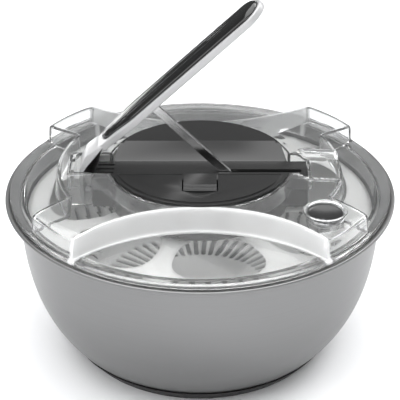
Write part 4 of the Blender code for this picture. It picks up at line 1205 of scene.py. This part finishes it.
    def build_base(self) -> bpy.types.Object:
        """Lower shell: a tray with holes for the bearing and the four screws."""
        low, high = corners_of("housing_base")
        plan = self.outline(self.radius - 0.0008, float(high[0]), self.ear_half - 0.00035)
        tray = prism("unit_base_shell", plan, float(low[2]), float(high[2]))
        inside = self.outline(self.radius - 0.0008 - self.wall, self.reach - self.wall,
                              self.ear_half - self.wall)
        carve(tray, prism("tray_tool", inside, self.base_top, float(high[2]) + 0.002))
        bearing = float(corners_of("output_bearing")[1][0]) + 0.00035
        carve(tray, prism("bearing_tool", disc_outline(bearing, 64), float(low[2]) - 0.002,
                          self.base_top + 0.001))
        for degrees_round in self.column_angles:
            x = self.column_circle * cos(radians(degrees_round))
            y = self.column_circle * sin(radians(degrees_round))
            carve(tray, prism("screw_tool", disc_outline(0.00185, 20, x, y), float(low[2]) - 0.002,
                              self.base_top + 0.001))
        ease_edges(tray, 0.00035)
        return tray

    def build_catch(self) -> bpy.types.Object:
        """Catch with a thumb rim: a bar whose section has a groove and a double lip at its front."""
        low, high = self.catch_low, self.catch_high
        top, front, back = high[2], low[1], high[1]
        section = np.array([
            (front, low[2]), (back, low[2]), (back, top),
            (front + 0.0074, top), (front + 0.0066, top - 0.0009),
            (front + 0.0052, top - 0.0009), (front + 0.0046, top - 0.0001), (front + 0.0036, top - 0.0001),
            (front + 0.0028, top - 0.0010), (front + 0.0012, top - 0.0010), (front + 0.0008, top - 0.0002),
            (front, top - 0.0003)])
        bar = prism("catch_slide_plate", section, float(low[0]), float(high[0]), Plane.YZ)
        ease_edges(bar, 0.00022)
        return bar

    def make(self) -> None:
        """Build and dress the two shells and the catch."""
        dress(self.build_top(), BLACK_GLOSS, "lid", "black_gloss", "housing_top")
        dress(self.build_base(), BLACK_GLOSS, "lid", "black_gloss", "housing_base")
        dress(self.build_catch(), BLACK_GLOSS, "catch", "black_gloss", "cover_catch")


# ---- lever -------------------------------------------------------------------------------
@dataclass
class Lever:
    """Raised lever: a satin loop round a grooved black grip, a hooked foot and the link below."""

    angle: float = radians(43.5)
    length: float = 172.0 * MILLIMETRE
    half_width: float = 14.0 * MILLIMETRE
    offset: float = 12.0 * MILLIMETRE
    thickness: float = 8.0 * MILLIMETRE
    start: float = 21.0 * MILLIMETRE
    rail: float = 4.8 * MILLIMETRE
    window_half: float = 11.9 * MILLIMETRE
    window_start: float = 30.0 * MILLIMETRE
    window_end: float = 169.8 * MILLIMETRE
    foot_half: float = 10.0 * MILLIMETRE
    grip_rise: float = 0.3 * MILLIMETRE
    grip_dome: float = 3.7 * MILLIMETRE
    grip_depth: float = 1.8 * MILLIMETRE
    groove_depth: float = 0.45 * MILLIMETRE
    groove_pitch: float = 3.4 * MILLIMETRE
    link_half: float = 2.8 * MILLIMETRE

    def __post_init__(self) -> None:
        """Take the hinge's place from its pin."""
        low, high = corners_of("hinge_pin")
        middle = 0.5 * (low + high)
        self.hinge = np.array([middle[0], 0.0, middle[2]])

    def placed(self, along: Array, side: Array, across: Array) -> Array:
        """Turn lever coordinates into the frame's: along the lever, sideways, and away from the lid."""
        c, s = cos(self.angle), sin(self.angle)
        return np.stack([self.hinge[0] + along * c - across * s, side + 0.0 * along,
                         self.hinge[2] + along * s + across * c], -1)

    def plan(self, half: float, start: float, end: float, nose: float, taper: float, steps: int) -> Array:
        """Plan of a bar with a round tip and a narrower lower end, at even angles of travel.

        The tip is a half circle of the bar's width. Each side runs straight down and draws in by a
        smoothstep over the taper, and the lower end closes with a half ellipse of the nose's width.

        Args:
            half: half-width of the bar.
            start: where its lower end begins.
            end: where its tip ends.
            nose: half-width of the lower end.
            taper: length over which it narrows.
            steps: points on each of the plan's quarters.

        Returns:
            Closed outline in (along, side).
        """
        turn = np.linspace(0.0, pi / 2, steps)
        tip = np.stack([end - half + half * np.cos(turn), half * np.sin(turn)], -1)
        t = np.linspace(0.0, 1.0, 2 * steps)[1:]
        bulb = min(nose, 0.5 * taper)
        run = end - half + t * (start + bulb - end + half)
        width = nose + (half - nose) * smoothstep((run - start - bulb) / taper)
        side = np.stack([run, width], -1)
        low = np.stack([start + bulb - bulb * np.sin(turn[1:]), nose * np.cos(turn[1:])], -1)
        upper = np.concatenate([tip, side, low])
        mirrored = upper[::-1][1:-1] * (1.0, -1.0)
        return np.concatenate([upper, mirrored])

    def build_loop(self) -> bpy.types.Object:
        """Loop of the lever: a soft-cornered rectangle carried round the ring between two plans.

        At each point of the ring the rectangle spans from the inner plan to the outer one, and across
        the rail's thickness. The outer lower corner is rounder than the others.
        """
        outer = self.plan(self.half_width, self.start, self.length, 0.0104, 0.022, 20)
        inner = self.plan(self.window_half, self.window_start, self.window_end, 0.0078, 0.022, 20)
        low, high = self.offset, self.offset + self.rail
        width = np.linalg.norm(outer - inner, axis=-1)
        corners = ((0, low), (1, low), (1, high), (0, high))
        square = np.stack([np.stack([share * width, level + 0 * width], -1) for share, level in corners], 1)
        section = rounded(square, np.array([0.0004, 0.0010, 0.0009, 0.0004]), 5)
        share = section[..., 0] / width[:, None]
        middle = inner[:, None, :] + (outer - inner)[:, None, :] * share[..., None]
        points = self.placed(middle[..., 0], middle[..., 1], section[..., 1])
        return lay("lever_loop", points, grid_quads(len(outer), section.shape[1], True, True), 40.0)

    def foot_outline(self) -> Array:
        """Side outline of the hooked foot, rounded, in (along, across)."""
        low, high = self.offset, self.offset + self.rail
        hook = np.array([(-0.0124, -0.0062), (-0.0104, -0.0086), (-0.0042, -0.0070), (0.0016, -0.0022),
                         (0.0026, 0.0060), (0.0048, 0.0094), (0.0110, 0.0113), (0.0245, low),
                         (0.0285, low + 0.0010),
                         (0.0285, high - 0.0008), (0.0240, high + 0.0004), (0.0150, 0.0180),
                         (0.0053, 0.0141), (-0.0044, 0.0044)])
        return rounded(hook, 0.0016, 5)

    def build_foot(self) -> bpy.types.Object:
        """Hooked foot: its side outline carried across the lever and drawn in at both flanks.

        The rings lie at side = half * sin(q) with the outline shrunk towards its middle line by
        (1 - cos q) times the corner radius, for q near a quarter turn.
        """
        outline = self.foot_outline()
        ahead = np.roll(outline, -1, 0) - np.roll(outline, 1, 0)
        normal = np.stack([ahead[:, 1], -ahead[:, 0]], -1)
        normal /= np.maximum(np.linalg.norm(normal, axis=-1, keepdims=True), 1e-9)
        corner = 0.9 * MILLIMETRE
        turn = np.linspace(0.0, pi / 2, 5)
        inset = corner * (1.0 - np.cos(turn))
        flank = self.foot_half - corner + corner * np.sin(turn)
        side = np.concatenate([-flank[::-1], flank])
        shrink = np.concatenate([inset[::-1], inset])
        rings = outline[None] - normal[None] * shrink[:, None, None]
        points = self.placed(rings[..., 0], side[:, None] + 0.0 * rings[..., 0], rings[..., 1])
        count = len(outline)
        ends = [list(range(count)), list(range((len(side) - 1) * count, len(side) * count))]
        faces = grid_quads(len(side), count, False, True).tolist() + ends
        return lay("lever_foot", points.reshape(-1, 3), faces, 40.0)

    def build_grip(self) -> bpy.types.Object:
        """Grooved, domed grip inlay.

        Across each station the point at share v of the half-width lies at side = v * width. The top
        is a dome with steep flanks, dome * (1 - |v|^3)^0.45 * (width / half)^0.4, less a groove that
        follows a raised cosine of the side and fades at the tip.
        """
        gap = 0.3 * MILLIMETRE
        half = self.window_half - gap
        start, end, nose, taper = self.window_start + gap, self.window_end - gap, 0.0075, 0.022
        t = 0.5 - 0.5 * np.cos(np.linspace(0.0, pi, 121))
        along = start + t * (end - start)
        tip = half * np.sqrt(np.clip(1.0 - np.clip((along - end + half) / half, 0.0, 1.0) ** 2, 0.0, 1.0))
        low = nose + (half - nose) * smoothstep((along - start - nose) / taper)
        low = np.where(along < start + nose, nose * np.sqrt(np.clip(
            1.0 - ((start + nose - along) / nose) ** 2, 0.0, 1.0)), low)
        width = np.minimum(tip, low)[:, None]
        v = np.sin(np.linspace(-pi / 2, pi / 2, 57))[None, :]
        side = v * width
        high = self.offset + self.thickness + self.grip_rise
        crown = self.grip_dome * (1.0 - np.abs(v) ** 3) ** 0.45 * (width / half) ** 0.4
        groove = np.clip(np.cos(2 * pi * side / self.groove_pitch), 0.0, 1.0) ** 6
        fade = smoothstep((end - 0.012 - along) / 0.03)[:, None] * smoothstep((0.9 - np.abs(v)) / 0.1)
        top = high - self.grip_dome + crown - self.groove_depth * groove * fade
        edge = np.full((len(along), 1), self.offset + self.rail - self.grip_depth)
        level = np.concatenate([edge, top, edge], 1)
        spread = np.concatenate([side[:, :1], side, side[:, -1:]], 1)
        run = np.repeat(along[:, None], spread.shape[1], 1)
        points = self.placed(run, spread, level)
        faces = grid_quads(len(along), spread.shape[1], False, True)
        return lay("grip_inlay", points, faces, 34.0, weld=2e-6)

    def build_link(self) -> bpy.types.Object:
        """Flat polished link between its two pins, with a round eye for each."""
        low, high = corners_of("link_pin_upper")
        top = 0.5 * (low + high)
        low, high = corners_of("link_pin_lower")
        foot = 0.5 * (low + high)
        span = np.array([foot[0] - top[0], foot[2] - top[2]])
        length = float(np.hypot(*span))
        way = span / length
        half = self.link_half
        flat = slot_outline(-half, length + half, 0.0, half, 17)
        turned = np.stack([top[0] + flat[:, 0] * way[0] - flat[:, 1] * way[1],
                           top[2] + flat[:, 0] * way[1] + flat[:, 1] * way[0]], -1)
        bar = prism("link_plate", turned, -0.0015, 0.0015, Plane.XZ)
        for centre in (top, foot):
            eye = disc_outline(0.0019, 32, centre[0], centre[2])
            carve(bar, prism("eye_tool", eye, -0.004, 0.004, Plane.XZ))
        ease_edges(bar, 0.0004, 3)
        return bar

    def make(self) -> None:
        """Build and dress the lever's pieces and the link."""
        frame = merged("lever_frame_bar", [self.build_loop(), self.build_foot()])
        dress(frame, SATIN_GREY, "lever", "lever_grey", "lever_frame")
        dress(self.build_grip(), BLACK_GRIP, "lever", "black_gloss", "lever_grip", "lever_frame")
        dress(self.build_link(), BRIGHT_STEEL, "link", "link_steel", "link_bar")


# ---- brake -------------------------------------------------------------------------------
@dataclass
class Brake:
    """Round brake button with a dished cap in a clear collar."""

    dish: float = 1.1 * MILLIMETRE
    lip: float = 1.1 * MILLIMETRE

    def __post_init__(self) -> None:
        """Read the cap's and the collar's sizes from the frame."""
        self.cap_low, self.cap_high = corners_of("brake_cap")
        self.collar_low, self.collar_high = corners_of("brake_collar")
        middle = 0.5 * (self.cap_low + self.cap_high)
        self.x, self.y = float(middle[0]), float(middle[1])
        self.radius = 0.5 * float(self.cap_high[0] - self.cap_low[0])
        self.collar_radius = 0.5 * float(self.collar_high[0] - self.collar_low[0])

    def build_cap(self) -> bpy.types.Object:
        """Cap: a rim round a dish whose depth grows as (1 - (r / R)^2), hollow underneath."""
        low, top = float(self.cap_low[2]), float(self.cap_high[2])
        inner = self.radius - self.lip
        r = np.linspace(0.0, 1.0, 14)
        dish = np.stack([inner * r, top - 0.0003 - self.dish * (1 - r ** 2)], -1)
        s = np.linspace(0.0, pi / 2, 7)
        edge = np.stack([self.radius - 0.0006 + 0.0006 * np.sin(s), top - 0.0006 + 0.0006 * np.cos(s)], -1)
        wall = np.array([(self.radius, low), (0.0039, low), (0.0039, top - 0.003), (0.0, top - 0.003)])
        return spun("brake_button", np.concatenate([dish, edge, wall]), 96, self.x, self.y)

    def build_collar(self) -> bpy.types.Object:
        """Collar: a flanged ring with a soft outer corner."""
        low, top = float(self.collar_low[2]), float(self.collar_high[2])
        inner = self.radius + 0.0004
        neck = self.collar_radius - 0.00215
        flange = top - 0.0012
        profile = rounded(np.array([(inner, low), (neck, low), (neck, flange), (self.collar_radius, flange),
                                    (self.collar_radius, top), (inner, top)]), 0.0005, 5)
        return spun("brake_ring", profile, 96, self.x, self.y)

    def make(self) -> None:
        """Build and dress the button and its ring."""
        dress(self.build_cap(), BLACK_GLOSS, "brake", "black_gloss", "brake_cap")
        dress(self.build_collar(), CLEAR_PLASTIC, "lid", "lid_clear", "brake_collar")


# ---- inner works -------------------------------------------------------------------------
WORKS_FINISH = {
    NYLON: ("drive_gear", "rack_pinion", "idler_gear", "output_pinion", "rack", "rack_guide", "basket_pivot"),
    SPRING_STEEL: ("base_screw_1", "base_screw_2", "base_screw_3", "base_screw_4", "hinge_pin",
                   "link_pin_upper", "link_pin_lower", "pinion_shaft", "idler_shaft", "clutch_sleeve",
                   "output_shaft", "output_bearing", "return_spring", "brake_spring"),
    FROSTED_PLASTIC: ("brake_plunger",),
    BLACK_RUBBER: ("brake_pad",),
}


def dress_works(nodes: dict[str, bpy.types.Object]) -> None:
    """Give every frame node that stays in view its finish.

    Args:
        nodes: frame nodes by name.
    """
    for finish, names in WORKS_FINISH.items():
        for name in names:
            mesh = nodes[name].data
            mesh.materials.clear()
            mesh.materials.append(finish.material())
            LOG.info("%s: %s", name, finish.name)


# ---- studio ------------------------------------------------------------------------------
@dataclass
class Studio:
    """Pale floor, soft overhead panels and the camera."""

    rim_height: float
    floor_radius: float = 2.6
    camera_back: float = 0.924
    camera_height: float = 0.625
    camera_pitch: float = radians(29.38)
    lens: float = 139.5
    horizon: float = 0.10
    zenith: float = 0.70

    def build_floor(self) -> None:
        """Round floor of rings whose radii grow with the square of their number."""
        radius = np.linspace(0.0, 1.0, 40)[:, None] ** 2 * self.floor_radius
        angle = np.linspace(0.0, 2 * pi, 96, endpoint=False)[None, :]
        level = np.full(radius.shape, -0.0002) + 0 * angle
        points = np.stack([radius * np.cos(angle), radius * np.sin(angle), level], -1)
        floor = lay("studio_floor", points, grid_quads(40, 96, False, True), outward=False, weld=1e-5)
        if floor.data.polygons[-1].normal.z < 0:
            floor.data.flip_normals()
        paper = Finish("pale_floor", (0.90, 0.905, 0.915), 0.6, 0.0,
                       Grain((60.0,) * 3, 3.0, 0.004, 0.02), 2.0, 0.004, 0.02)
        floor.data.materials.append(paper.material())

    def build_world(self) -> None:
        """Surroundings that are dark at the horizon and pale overhead."""
        world = bpy.data.worlds.new("studio")
        world.use_nodes = True
        tree = world.node_tree
        tree.nodes["Background"].inputs["Color"].default_value = (0.97, 0.985, 1.0, 1.0)
        split = tree.nodes.new("ShaderNodeSeparateXYZ")
        spread = tree.nodes.new("ShaderNodeMapRange")
        for socket, value in zip(spread.inputs[1:5], (0.62, 0.90, self.horizon, self.zenith)):
            socket.default_value = value
        tree.links.new(tree.nodes.new("ShaderNodeTexCoord").outputs["Generated"], split.inputs[0])
        tree.links.new(split.outputs[2], spread.inputs[0])
        tree.links.new(spread.outputs[0], tree.nodes["Background"].inputs["Strength"])
        bpy.context.scene.world = world

    def panel(self, name: str, place: tuple[float, float, float], toward: tuple[float, float, float],
              width: float, height: float, power: float) -> None:
        """Hang one rectangular light panel.

        Args:
            name: name of the light.
            place: its middle.
            toward: the point that it faces.
            width: its width.
            height: its height.
            power: its power in watts.
        """
        lamp = bpy.data.lights.new(name, "AREA")
        lamp.shape = "RECTANGLE"
        lamp.size, lamp.size_y, lamp.energy = width, height, power
        holder = bpy.data.objects.new(name, lamp)
        x, y, z = (b - a for a, b in zip(place, toward))
        holder.location = place
        holder.rotation_euler = (atan2(hypot(x, y), -z), 0.0, atan2(y, x) - pi / 2)
        bpy.context.scene.collection.objects.link(holder)

    def build_camera(self) -> None:
        """Camera in front of the object, level across, looking down at the rim."""
        eye = bpy.data.cameras.new("camera")
        eye.lens = self.lens
        eye.sensor_width = 36.0
        eye.clip_start, eye.clip_end = 0.05, 20.0
        holder = bpy.data.objects.new("camera", eye)
        holder.location = (0.0, -self.camera_back, self.camera_height)
        holder.rotation_euler = (pi / 2 - self.camera_pitch, 0.0, 0.0)
        bpy.context.scene.collection.objects.link(holder)
        bpy.context.scene.camera = holder

    def make(self) -> None:
        """Set the whole studio up."""
        self.build_floor()
        self.build_world()
        middle = (0.0, 0.0, 0.5 * self.rim_height)
        self.panel("overhead", (0.0, 0.15, 1.7), middle, 3.0, 3.0, 78.0)
        self.panel("left_front", (-1.3, -0.9, 1.0), middle, 0.9, 1.1, 7.0)
        self.panel("front", (0.0, -1.7, 0.85), middle, 2.2, 0.7, 13.0)
        self.panel("right_back", (1.2, 1.0, 1.1), middle, 0.8, 1.0, 10.0)
        self.panel("lever_light", (-0.758, 1.090, 0.083), (-0.222, -0.094, 0.083), 0.50, 0.16, 1.1)
        self.build_camera()


def main() -> None:
    """Build every sub-assembly in order, then the studio."""
    logging.basicConfig(level=logging.INFO, format="%(name)s: %(message)s")
    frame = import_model()
    bowl = Bowl()
    studio = Studio(rim_height=bowl.rim)
    for assembly in (bowl, Basket(bowl), InnerCover(), Lid(bowl), GearUnit(), Lever(), Brake(), studio):
        LOG.info("making %s", type(assembly).__name__)
        assembly.make()
    dress_works(frame["nodes"])
    bpy.context.scene.view_settings.view_transform = "Standard"
    bpy.context.view_layer.update()


if __name__ == "__main__":
    main()
